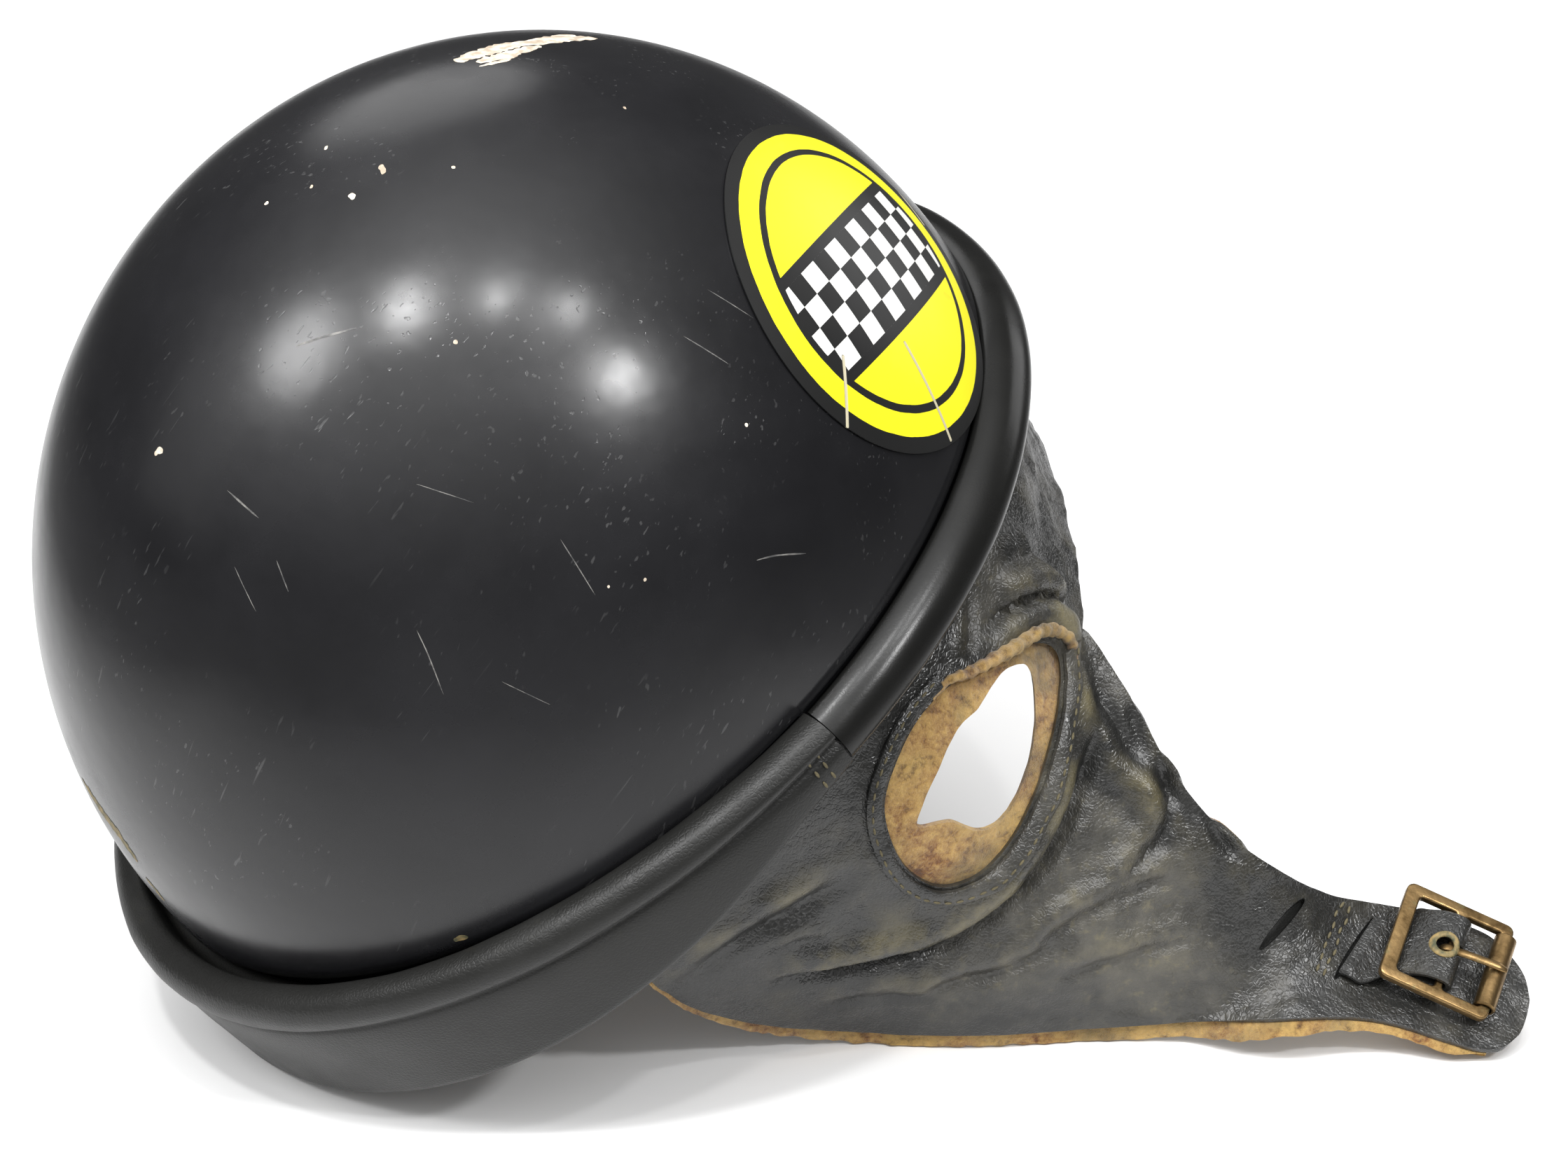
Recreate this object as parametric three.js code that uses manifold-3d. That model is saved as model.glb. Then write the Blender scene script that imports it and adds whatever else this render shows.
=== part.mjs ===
// Black half-shell riding helmet with a leather harness, standing nose-down on its peak
// and on the lower edges of its two ear flaps. Millimetres, +Z up, +X towards the back of
// the helmet, -Y its wearer's left, which carries the buckle.
import * as THREE from 'three';
import { mergeVertices } from 'three/addons/utils/BufferGeometryUtils.js';
import Module from 'manifold-3d';

const wasm = await Module();
wasm.setup();

// Stance
const PITCH = THREE.MathUtils.degToRad(35.3); // the nose hangs this far below level
const RIM_HEIGHT = 116.33; // centre of the rim plane above the floor
const RIM_PLACE = { x: -45.1, y: -26.5 }; // centre of the rim plane in plan

// Shell: half an ellipsoid on a short straight skirt
const SHELL = { halfLength: 137, halfWidth: 114.2, dome: 145.4, skirtTop: 2.7, skirtFoot: -6, wall: 3 };
const RIM_SCALE = 0.98; // the skirt draws in this much below the dome
const FACETS = 44; // flats round the shell, shared by what is wrapped round its rim
const GAP = 0.3; // clearance between pieces that touch

// Harness layers
const LEATHER = 1.6;
const SUEDE = 2.2;
const SUEDE_REACH = 3.8; // suede left proud of the leather along the front edge

// Angles round the rim are measured from the nose towards the wearer's left
const SEAM_ANGLE = 89.85; // end of the peak; the back trim starts 0.3 degrees further on
const FLAP_START = 64;
const FLAP_END = 131;

const rad = THREE.MathUtils.degToRad;
const vec = (x, y, z) => new THREE.Vector3(x, y, z);
const NOSE_DOWN = new THREE.Euler(0, -PITCH, 0);

function finish(colour, roughness, metalness = 0) {
  return new THREE.MeshStandardMaterial({ color: colour, roughness, metalness });
}

const FINISH = {
  shell: finish(0x17181a, 0.35),
  peak: finish(0x1c1c1d, 0.6),
  trim: finish(0x121214, 0.25),
  leather: finish(0x1f201c, 0.65),
  suede: finish(0xb8863e, 0.9),
  brass: finish(0x8f6f3c, 0.4, 0.9),
  decal: finish(0xe9e020, 0.35),
};

const part = new THREE.Group();
const helmet = new THREE.Group(); // pieces drawn level, then pitched nose-down
const harness = new THREE.Group(); // pieces drawn as they stand
helmet.rotation.copy(NOSE_DOWN);
part.add(helmet, harness);
part.position.set(RIM_PLACE.x, RIM_PLACE.y, RIM_HEIGHT);

function add(group, name, geometry, material) {
  const mesh = new THREE.Mesh(geometry, material);
  mesh.name = name;
  group.add(mesh);
  return mesh;
}

// Joins and cuts
function solidOf(geometry) {
  const bare = geometry.clone();
  bare.deleteAttribute('normal');
  bare.deleteAttribute('uv');
  const merged = mergeVertices(bare, 1e-4);
  return new wasm.Manifold(new wasm.Mesh({
    numProp: 3,
    vertProperties: new Float32Array(merged.attributes.position.array),
    triVerts: new Uint32Array(merged.index.array),
  }));
}

function geometryOf(solid) {
  const mesh = solid.getMesh();
  const geometry = new THREE.BufferGeometry();
  geometry.setAttribute('position', new THREE.BufferAttribute(new Float32Array(mesh.vertProperties), 3));
  geometry.setIndex(new THREE.BufferAttribute(new Uint32Array(mesh.triVerts), 1));
  return geometry;
}

// Closed solid through rings of points, with flat ends
function loft(rings) {
  const count = rings[0].length;
  const positions = rings.flat().flatMap((p) => [p.x, p.y, p.z]);
  const index = [];
  for (let i = 0; i + 1 < rings.length; i += 1) {
    for (let j = 0; j < count; j += 1) {
      const k = (j + 1) % count;
      const a = i * count + j;
      const b = i * count + k;
      index.push(a, b, b + count, a, b + count, a + count);
    }
  }
  const last = (rings.length - 1) * count;
  for (let j = 1; j + 1 < count; j += 1) {
    index.push(0, j + 1, j);
    index.push(last, last + j, last + j + 1);
  }
  const geometry = new THREE.BufferGeometry();
  geometry.setAttribute('position', new THREE.Float32BufferAttribute(positions, 3));
  geometry.setIndex(index);
  return geometry;
}

// Closed wall of a sheet: `surface(u, v)` is its outer face, `depth` its thickness inwards
function wall(surface, us, vs, near, far) {
  const columns = us.length;
  const rows = vs.length;
  const positions = [];
  for (const depth of [near, far]) {
    for (const v of vs) {
      for (const u of us) {
        const p = surface(u, v).addScaledVector(normalAt(surface, u, v), -depth);
        positions.push(p.x, p.y, p.z);
      }
    }
  }
  const at = (layer, i, j) => layer * rows * columns + j * columns + i;
  const index = [];
  const quad = (a, b, c, d) => index.push(a, b, c, a, c, d);
  for (let j = 0; j + 1 < rows; j += 1) {
    for (let i = 0; i + 1 < columns; i += 1) {
      quad(at(0, i, j), at(0, i, j + 1), at(0, i + 1, j + 1), at(0, i + 1, j));
      quad(at(1, i, j), at(1, i + 1, j), at(1, i + 1, j + 1), at(1, i, j + 1));
    }
  }
  for (let j = 0; j + 1 < rows; j += 1) {
    quad(at(0, 0, j), at(1, 0, j), at(1, 0, j + 1), at(0, 0, j + 1));
    const e = columns - 1;
    quad(at(0, e, j), at(0, e, j + 1), at(1, e, j + 1), at(1, e, j));
  }
  for (let i = 0; i + 1 < columns; i += 1) {
    quad(at(0, i, 0), at(0, i + 1, 0), at(1, i + 1, 0), at(1, i, 0));
    const e = rows - 1;
    quad(at(0, i, e), at(1, i, e), at(1, i + 1, e), at(0, i + 1, e));
  }
  const geometry = new THREE.BufferGeometry();
  geometry.setAttribute('position', new THREE.Float32BufferAttribute(positions, 3));
  geometry.setIndex(index);
  return geometry;
}

const STEP = 1e-3;
function normalAt(surface, u, v) {
  const du = surface(u + STEP, v).sub(surface(u - STEP, v));
  const dv = surface(u, v + STEP).sub(surface(u, v - STEP));
  return dv.cross(du).normalize();
}

function spread(from, to, count) {
  return Array.from({ length: count + 1 }, (_, i) => from + ((to - from) * i) / count);
}

// Mirror across the helmet's middle plane, with the faces turned back outwards
function mirrored(geometry) {
  const copy = geometry.clone();
  const position = copy.attributes.position;
  for (let i = 0; i < position.count; i += 1) position.setY(i, -position.getY(i));
  const index = copy.index.array;
  for (let i = 0; i < index.length; i += 3) [index[i + 1], index[i + 2]] = [index[i + 2], index[i + 1]];
  return copy;
}

// Point on the rim oval at an angle from the nose, `out` mm outside the skirt, at height z
function rimPoint(angle, out, z) {
  const a = rad(angle);
  const x = -(SHELL.halfLength * RIM_SCALE + out) * Math.cos(a);
  const y = -(SHELL.halfWidth * RIM_SCALE + out) * Math.sin(a);
  return vec(x, y, z);
}

// Piecewise-linear reading of a table column at a key
function reading(table, key, column, at) {
  const last = table.length - 1;
  if (at <= table[0][key]) return table[0][column];
  if (at >= table[last][key]) return table[last][column];
  const i = table.findIndex((row) => row[key] >= at);
  const a = table[i - 1];
  const b = table[i];
  const t = (at - a[key]) / (b[key] - a[key]);
  return a[column] + (b[column] - a[column]) * t;
}

// Shell
function shell() {
  const { halfLength, halfWidth, dome, skirtTop, skirtFoot, wall: thick } = SHELL;
  const steps = 11;
  const foot = halfWidth * RIM_SCALE;
  const profile = [];
  for (let i = 0; i <= steps; i += 1) {
    const a = (Math.PI / 2) * (i / steps);
    const height = skirtTop + (dome - thick) * Math.cos(a);
    profile.push(new THREE.Vector2((halfWidth - thick) * Math.sin(a), height));
  }
  profile.push(new THREE.Vector2(foot - thick, skirtFoot), new THREE.Vector2(foot, skirtFoot));
  profile.push(new THREE.Vector2(foot, 0));
  for (let i = steps; i >= 0; i -= 1) {
    const a = (Math.PI / 2) * (i / steps);
    profile.push(new THREE.Vector2(halfWidth * Math.sin(a), skirtTop + dome * Math.cos(a)));
  }
  profile[0].x = 0;
  profile[profile.length - 1].x = 0;
  const geometry = new THREE.LatheGeometry(profile, FACETS);
  geometry.rotateX(Math.PI / 2);
  geometry.scale(halfLength / halfWidth, 1, 1);
  return geometry;
}

// Peak: a rolled upper edge that stands clear of the shell at the nose, a groove, and a
// hanging leather wall that shortens towards the side seams
const PEAK = [
  { angle: 0, crevice: 5.5, crest: 5.5, reach: 16, drop: -37 },
  { angle: 12, crevice: 5.5, crest: 5.5, reach: 15.6, drop: -36.8 },
  { angle: 25, crevice: 5, crest: 5.2, reach: 14.6, drop: -36 },
  { angle: 45, crevice: 3, crest: 4.6, reach: 12.8, drop: -32.5 },
  { angle: 60, crevice: 1.8, crest: 4, reach: 11.8, drop: -28 },
  { angle: 72, crevice: 1, crest: 3.2, reach: 11.4, drop: -22 },
  { angle: 82, crevice: 0.6, crest: 2.4, reach: 11.2, drop: -15.5 },
  { angle: 90, crevice: 0.4, crest: 1.6, reach: 11, drop: -13 },
];
const PEAK_WALL = 3;

function peakSection(angle) {
  const a = Math.abs(angle);
  const crevice = reading(PEAK, 'angle', 'crevice', a);
  const crest = reading(PEAK, 'angle', 'crest', a);
  const reach = reading(PEAK, 'angle', 'reach', a);
  const drop = reading(PEAK, 'angle', 'drop', a);
  const groove = Math.max(-4.5, drop + 8);
  const foot = Math.min(reach, 14 - a / 30);
  const section = [
    [GAP, -3.2],
    [crevice, -3],
    [crevice, crest - 2.4],
    [crevice + 2, crest],
    [reach - 3, crest - 0.6],
    [reach - 0.3, crest - 3.6],
    [reach - 1.4, groove],
    [reach - 0.4, groove - 4],
    [foot, drop + 3],
    [foot - 1, drop],
    [foot - PEAK_WALL, drop],
    [foot - PEAK_WALL - 0.6, drop + 2.5],
    [reach - PEAK_WALL - 0.8, -9.8],
    [-SHELL.wall, -9.8],
    [-SHELL.wall, SHELL.skirtFoot - GAP],
    [GAP, SHELL.skirtFoot - GAP],
  ];
  return section.map(([out, z]) => rimPoint(angle, out, z));
}

// Back trim: a rounded bumper wrapped under the edge of the shell
const TRIM_SECTION = [
  [GAP, -0.6], [2, 1.2], [3.4, 1], [6.5, -0.6], [9.4, -3.8], [11, -8], [10.6, -11.6], [8, -13.6],
  [3, -13.8], [-SHELL.wall, -12], [-SHELL.wall, SHELL.skirtFoot - GAP], [GAP, SHELL.skirtFoot - GAP],
];

function backTrim() {
  const angles = spread(90, 270, FACETS / 2);
  angles[0] = 180 - SEAM_ANGLE;
  angles[angles.length - 1] = 180 + SEAM_ANGLE;
  return loft(angles.map((angle) => TRIM_SECTION.map(([out, z]) => rimPoint(angle, out, z))));
}

function peak() {
  const angles = spread(-90, 90, FACETS / 2);
  angles[0] = -SEAM_ANGLE;
  angles[angles.length - 1] = SEAM_ANGLE;
  return loft(angles.map(peakSection));
}

// Ear flap: sections from its front edge, through its middle, to its rear edge, as it stands.
// The two top sections follow the inside of the rim instead.
const INSIDE = -(SHELL.wall + GAP + 0.35);
const FLAP_TUCK = [{ z: 8 }, { z: -8 }];
const FLAP = [
  { fx: -38, fy: -90, fz: -62, mx: 26, my: -108, mz: -12, rx: 80, ry: -80, rz: 34 },
  { fx: -22, fy: -86, fz: -85, mx: 41, my: -112, mz: -34, rx: 90, ry: -92, rz: 14 },
  { fx: 5, fy: -83, fz: -103, mx: 54, my: -115, mz: -55, rx: 98, ry: -103, rz: -6 },
  { fx: 32, fy: -92, fz: -111, mx: 67, my: -120, mz: -70, rx: 102, ry: -115, rz: -20 },
  { fx: 57, fy: -112, fz: -111, mx: 80, my: -128, mz: -78, rx: 107, ry: -126, rz: -38 },
  { fx: 84, fy: -127, fz: -111, mx: 98, my: -136, mz: -85, rx: 115, ry: -138, rz: -54 },
  { fx: 105, fy: -144, fz: -108, mx: 116, my: -149, mz: -91, rx: 128, ry: -147, rz: -67 },
  { fx: 119, fy: -164, fz: -102, mx: 133, my: -159, mz: -93, rx: 147, ry: -150, rz: -80 },
  { fx: 136, fy: -173, fz: -103, mx: 150, my: -165, mz: -96.5, rx: 164, ry: -155, rz: -86.5 },
  { fx: 146, fy: -180, fz: -105.5, mx: 160.5, my: -173, mz: -98.5, rx: 174.5, ry: -164, rz: -89 },
  { fx: 155, fy: -189, fz: -109, mx: 169, my: -182, mz: -102, rx: 183, ry: -173, rz: -93 },
  { fx: 161, fy: -194, fz: -111.3, mx: 173.5, my: -188, mz: -105, rx: 185.7, ry: -180, rz: -97 },
  { fx: 167, fy: -197, fz: -111.5, mx: 176.5, my: -192.5, mz: -107.5, rx: 185.5, ry: -186.5, rz: -101 },
  { fx: 174, fy: -196.3, fz: -110.5, mx: 178.5, my: -194.3, mz: -108.3, rx: 182.7, ry: -191.5, rz: -105 },
];
const FLAP_ROWS = FLAP.length + FLAP_TUCK.length - 1;

// Padded swellings of the near flap, on its own face: `h` runs back along the flap and z up
const FACE_ALONG = vec(0.87, -0.493, 0);
const FACE_OUT = vec(-0.493, -0.87, 0);
const SWELLINGS = [
  { h: 101, z: -30, halfH: 40, halfZ: 58, lean: 0.25, height: 7 },
  { h: 122, z: 20, halfH: 26, halfZ: 18, lean: 0, height: 7 },
];

const quadratic = (a, b, c, u) => a * (1 - u) * (1 - 2 * u) + 4 * b * u * (1 - u) + c * u * (2 * u - 1);

function flapRow(row, u) {
  if (row < FLAP_TUCK.length) {
    const angle = FLAP_START + (FLAP_END - FLAP_START) * u;
    return rimPoint(angle, INSIDE, FLAP_TUCK[row].z).applyEuler(NOSE_DOWN);
  }
  const s = FLAP[row - FLAP_TUCK.length];
  return vec(
    quadratic(s.fx, s.mx, s.rx, u),
    quadratic(s.fy, s.my, s.ry, u),
    quadratic(s.fz, s.mz, s.rz, u),
  );
}

// Smooth curve through four values, between the middle two
function through(a, b, c, d, t) {
  const slopeIn = (c - a) / 2;
  const slopeOut = (d - b) / 2;
  const cubic = 2 * b - 2 * c + slopeIn + slopeOut;
  const square = -3 * b + 3 * c - 2 * slopeIn - slopeOut;
  return ((cubic * t + square) * t + slopeIn) * t + b;
}

function swelling(point) {
  const h = point.dot(FACE_ALONG);
  return SWELLINGS.reduce((sum, s) => {
    const dz = point.z - s.z;
    const dh = h - s.h - s.lean * dz;
    const far = (dh / s.halfH) ** 2 + (dz / s.halfZ) ** 2;
    return sum + (far < 1 ? s.height * (1 - far) ** 2 : 0);
  }, 0);
}

// Surface through the sections: v counts sections, u runs from front edge to rear edge
function flapSurface(u, v) {
  const row = Math.min(Math.max(Math.floor(v), 0), FLAP_ROWS - 1);
  const t = v - row;
  const p = [row - 1, row, row + 1, row + 2].map((i) => flapRow(Math.min(Math.max(i, 0), FLAP_ROWS), u));
  const base = vec(
    through(p[0].x, p[1].x, p[2].x, p[3].x, t),
    through(p[0].y, p[1].y, p[2].y, p[3].y, t),
    through(p[0].z, p[1].z, p[2].z, p[3].z, t),
  );
  const clear = THREE.MathUtils.smoothstep(v, 1.2, 2.4);
  return base.addScaledVector(FACE_OUT, swelling(base) * clear);
}

// Ear hole, drawn on the face of the flap: the leather's hole and the smaller one in the suede
const EAR_HOLE = [
  { h: 77.5, z: -30 }, { h: 79.5, z: -44 }, { h: 86, z: -55 }, { h: 95, z: -60 }, { h: 105, z: -57 },
  { h: 114, z: -47 }, { h: 121, z: -33 }, { h: 127, z: -14 }, { h: 124, z: -5 }, { h: 113, z: -3 },
  { h: 98, z: -5 }, { h: 85, z: -14 },
];
const SUEDE_HOLE = [
  { h: 86, z: -39.5 }, { h: 95, z: -41 }, { h: 104, z: -46 }, { h: 111, z: -43 }, { h: 117, z: -32 },
  { h: 119.5, z: -18 }, { h: 117.5, z: -8.5 }, { h: 111, z: -7.5 }, { h: 103, z: -13.5 }, { h: 95, z: -20 },
];

function holeCurve(table) {
  return new THREE.CatmullRomCurve3(table.map(({ h, z }) => vec(h, z, 0)), true);
}

const CUT_MIDDLE = 72; // distance of the flap's face from the helmet's centre line
const CUT_DEEP = 84;
function earCutter(table, points) {
  const outline = holeCurve(table).getPoints(points).slice(0, -1).map((p) => new THREE.Vector2(p.x, p.y));
  const shape = new THREE.Shape(outline);
  const cutter = new THREE.ExtrudeGeometry(shape, { depth: CUT_DEEP, bevelEnabled: false });
  const frame = new THREE.Matrix4().makeBasis(FACE_ALONG, vec(0, 0, 1), FACE_OUT);
  return cutter.translate(0, 0, CUT_MIDDLE - CUT_DEEP / 2).applyMatrix4(frame);
}

// Place on the flap's surface of a spot drawn on its face
function onFlap(h, z) {
  let u = 0.5;
  let v = 3.5;
  for (let pass = 0; pass < 30; pass += 1) {
    const at = (a, b) => {
      const p = flapSurface(a, b);
      return [p.dot(FACE_ALONG) - h, p.z - z];
    };
    const [e, f] = at(u, v);
    const [eu, fu] = at(u + STEP, v).map((value, i) => (value - [e, f][i]) / STEP);
    const [ev, fv] = at(u, v + STEP).map((value, i) => (value - [e, f][i]) / STEP);
    const det = eu * fv - ev * fu;
    u -= 0.7 * ((e * fv - f * ev) / det);
    v -= 0.7 * ((eu * f - fu * e) / det);
  }
  return { point: flapSurface(u, v), normal: normalAt(flapSurface, u, v) };
}

// Welt sewn round the lower part of the ear hole: a flat band standing just off the leather
const WELT = { near: 0.8, far: 5, low: 0.75, high: 2.1, from: -0.14, to: 0.62, steps: 24 };
function earWelt() {
  const curve = holeCurve(EAR_HOLE);
  const rings = spread(WELT.from, WELT.to, WELT.steps).map((place) => {
    const t = (place + 1) % 1;
    const p = curve.getPoint(t);
    const along = curve.getTangent(t);
    const spot = (away) => onFlap(p.x + along.y * away, p.y - along.x * away);
    const inner = spot(WELT.near);
    const outer = spot(WELT.far);
    const lift = (s, up) => s.point.clone().addScaledVector(s.normal, up);
    const { low, high } = WELT;
    return [lift(inner, low), lift(inner, high), lift(outer, high), lift(outer, low)];
  });
  return loft(rings);
}

const FLAP_COLUMNS = spread(0, 1, 9);
const FLAP_STEPS = [0, 0.6, 1, 1.5, 2, 2.5, 3, 3.5, 4, 4.5, 5, 6, 7, 8, 9, 10, 11, 12, 13, 14, 15];

// Tab: pieces drawn flat round the buckle's centre bar, x towards the tip, y across, z up off
// the tab, then leaned into place
const BUCKLE = { x: 166.7, y: -176, z: -92.5, heading: -49.7, dip: 20.4, lean: 28.7 };
const BAR = {
  length: 30.9, back: -16.2, front: 14.7, depth: 2.6, side: 3.2, backWidth: 4.2, centre: 2, rod: 2.8,
};
const ROLLER = { inner: 2.2, outer: 3, length: 23.4 };
const STRAP = { width: 21.5, thick: 1.7 };
const PRONG = { eyeInner: 1.75, eyeOuter: 3.1, width: 2.4, reach: 15.6 };

function ontoTab(geometry) {
  const turn = new THREE.Euler(rad(BUCKLE.lean), rad(BUCKLE.dip), rad(BUCKLE.heading), 'ZYX');
  const place = new THREE.Matrix4().makeRotationFromEuler(turn).setPosition(BUCKLE.x, BUCKLE.y, BUCKLE.z);
  return geometry.applyMatrix4(place);
}

function box(x0, x1, y0, y1, z0, z1) {
  const block = new THREE.BoxGeometry(x1 - x0, y1 - y0, z1 - z0);
  return block.translate((x0 + x1) / 2, (y0 + y1) / 2, (z0 + z1) / 2);
}

function rectangle(path, x0, x1, y0, y1, corner) {
  path.moveTo(x0 + corner, y0);
  path.lineTo(x1 - corner, y0);
  path.absarc(x1 - corner, y0 + corner, corner, -Math.PI / 2, 0);
  path.lineTo(x1, y1 - corner);
  path.absarc(x1 - corner, y1 - corner, corner, 0, Math.PI / 2);
  path.lineTo(x0 + corner, y1);
  path.absarc(x0 + corner, y1 - corner, corner, Math.PI / 2, Math.PI);
  path.lineTo(x0, y0 + corner);
  path.absarc(x0 + corner, y0 + corner, corner, Math.PI, 1.5 * Math.PI);
  return path;
}

function buckleFrame() {
  const half = BAR.length / 2;
  const inside = half - BAR.side;
  const outline = rectangle(new THREE.Shape(), BAR.back, BAR.front, -half, half, 1.6);
  const halfRod = BAR.centre / 2;
  const backHole = rectangle(new THREE.Path(), BAR.back + BAR.backWidth, -halfRod, -inside, inside, 0.8);
  const frontHole = rectangle(new THREE.Path(), halfRod, BAR.front - BAR.rod, -inside, inside, 0.8);
  outline.holes.push(backHole, frontHole);
  const plate = { depth: BAR.depth, bevelEnabled: false, curveSegments: 3 };
  return ontoTab(new THREE.ExtrudeGeometry(outline, plate).translate(0, 0, -BAR.depth / 2));
}

function buckleRoller() {
  const half = ROLLER.length / 2;
  const profile = [
    [ROLLER.inner, -half], [ROLLER.outer, -half], [ROLLER.outer, half], [ROLLER.inner, half],
    [ROLLER.inner, -half],
  ].map(([x, y]) => new THREE.Vector2(x, y));
  return ontoTab(new THREE.LatheGeometry(profile, 14).translate(BAR.front - BAR.rod / 2, 0, 0));
}

function buckleProng() {
  const half = PRONG.width / 2;
  const rod = BAR.front - BAR.rod / 2;
  const over = ROLLER.outer + GAP;
  const side = new THREE.Shape();
  side.absarc(0, 0, PRONG.eyeOuter, rad(62), rad(338));
  side.lineTo(rod - 2, over - 0.3);
  side.lineTo(rod + 0.4, over);
  side.lineTo(PRONG.reach, over - 0.4);
  side.lineTo(PRONG.reach, over + 0.7);
  side.lineTo(rod, over + 1.9);
  side.lineTo(rod - 3, over + 1.7);
  const eye = new THREE.Path();
  eye.absarc(0, 0, PRONG.eyeInner, 0, 2 * Math.PI);
  side.holes.push(eye);
  const plate = { depth: PRONG.width, bevelEnabled: false, curveSegments: 7 };
  return ontoTab(new THREE.ExtrudeGeometry(side, plate).rotateX(Math.PI / 2).translate(0, half, 0));
}

// Strap that holds the buckle: out of its slot, under the back bar, round the centre bar
// and back underneath. Columns are the distance along the tab and the height of its middle.
const STRAP_RUN = [
  { x: -26.2, z: -4.1 }, { x: -24, z: -3.4 }, { x: -19, z: -3.4 }, { x: -13.5, z: -2.8 },
  { x: -11.3, z: -2.5 }, { x: -8.5, z: -1.2 }, { x: -4.5, z: 1.6 }, { x: -1.5, z: 2.5 },
];
const STRAP_RETURN = [{ x: -5, z: -2.8 }, { x: -9, z: -3.7 }, { x: -12.5, z: -4.7 }];
const STRAP_SLOT = { from: -5.5, to: 6, half: 1.7 };

// Band with a rectangular section along a run of points in the xz plane
function band(run, width, thick) {
  const rings = run.map((p, i) => {
    const a = run[Math.max(i - 1, 0)];
    const b = run[Math.min(i + 1, run.length - 1)];
    const length = Math.hypot(b.x - a.x, b.z - a.z);
    const nx = -((b.z - a.z) / length) * (thick / 2);
    const nz = ((b.x - a.x) / length) * (thick / 2);
    const half = width / 2;
    return [
      vec(p.x - nx, -half, p.z - nz), vec(p.x - nx, half, p.z - nz),
      vec(p.x + nx, half, p.z + nz), vec(p.x + nx, -half, p.z + nz),
    ];
  });
  return loft(rings);
}

function buckleStrap() {
  const turn = PRONG.eyeInner + STRAP.thick / 2;
  const bend = spread(75, -90, 7).map((a) => ({ x: turn * Math.cos(rad(a)), z: turn * Math.sin(rad(a)) }));
  const strap = solidOf(band([...STRAP_RUN, ...bend, ...STRAP_RETURN], STRAP.width, STRAP.thick));
  const slot = solidOf(box(STRAP_SLOT.from, STRAP_SLOT.to, -STRAP_SLOT.half, STRAP_SLOT.half, -3.9, 6));
  return ontoTab(geometryOf(strap.subtract(slot)));
}

// Slots through the near tab's leather: the strap comes out of one, the other is empty
const TAB_SLOTS = [
  { x: -26.3, y: 0, long: 23, wide: 4.6 },
  { x: -45, y: -13, long: 20, wide: 2.4 },
];
function tabSlot(slot) {
  const across = slot.long / 2;
  const along = slot.wide / 2;
  return ontoTab(box(slot.x - along, slot.x + along, slot.y - across, slot.y + across, -9, 2));
}

function flapLeather() {
  const solid = solidOf(wall(flapSurface, FLAP_COLUMNS, FLAP_STEPS, 0, LEATHER));
  return solid.subtract(solidOf(earCutter(EAR_HOLE, 26)));
}

// The suede runs past the front edge of the leather, less so up under the peak
function liningSurface(u, v) {
  if (u >= 0) return flapSurface(u, v);
  const edge = flapSurface(0, v);
  const inwards = flapSurface(STEP, v).sub(edge).normalize();
  const share = 0.2 + 0.8 * THREE.MathUtils.smoothstep(v, 2, 5);
  return edge.addScaledVector(inwards, u * SUEDE_REACH * share);
}

function flapLining() {
  const columns = [-1, ...FLAP_COLUMNS];
  const solid = solidOf(wall(liningSurface, columns, FLAP_STEPS, LEATHER + GAP, LEATHER + GAP + SUEDE));
  return solid.subtract(solidOf(earCutter(SUEDE_HOLE, 22)));
}

const leatherFlap = flapLeather();
const suedeFlap = geometryOf(flapLining());
const slottedFlap = TAB_SLOTS.reduce((solid, slot) => solid.subtract(solidOf(tabSlot(slot))), leatherFlap);
const welt = earWelt();

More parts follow.
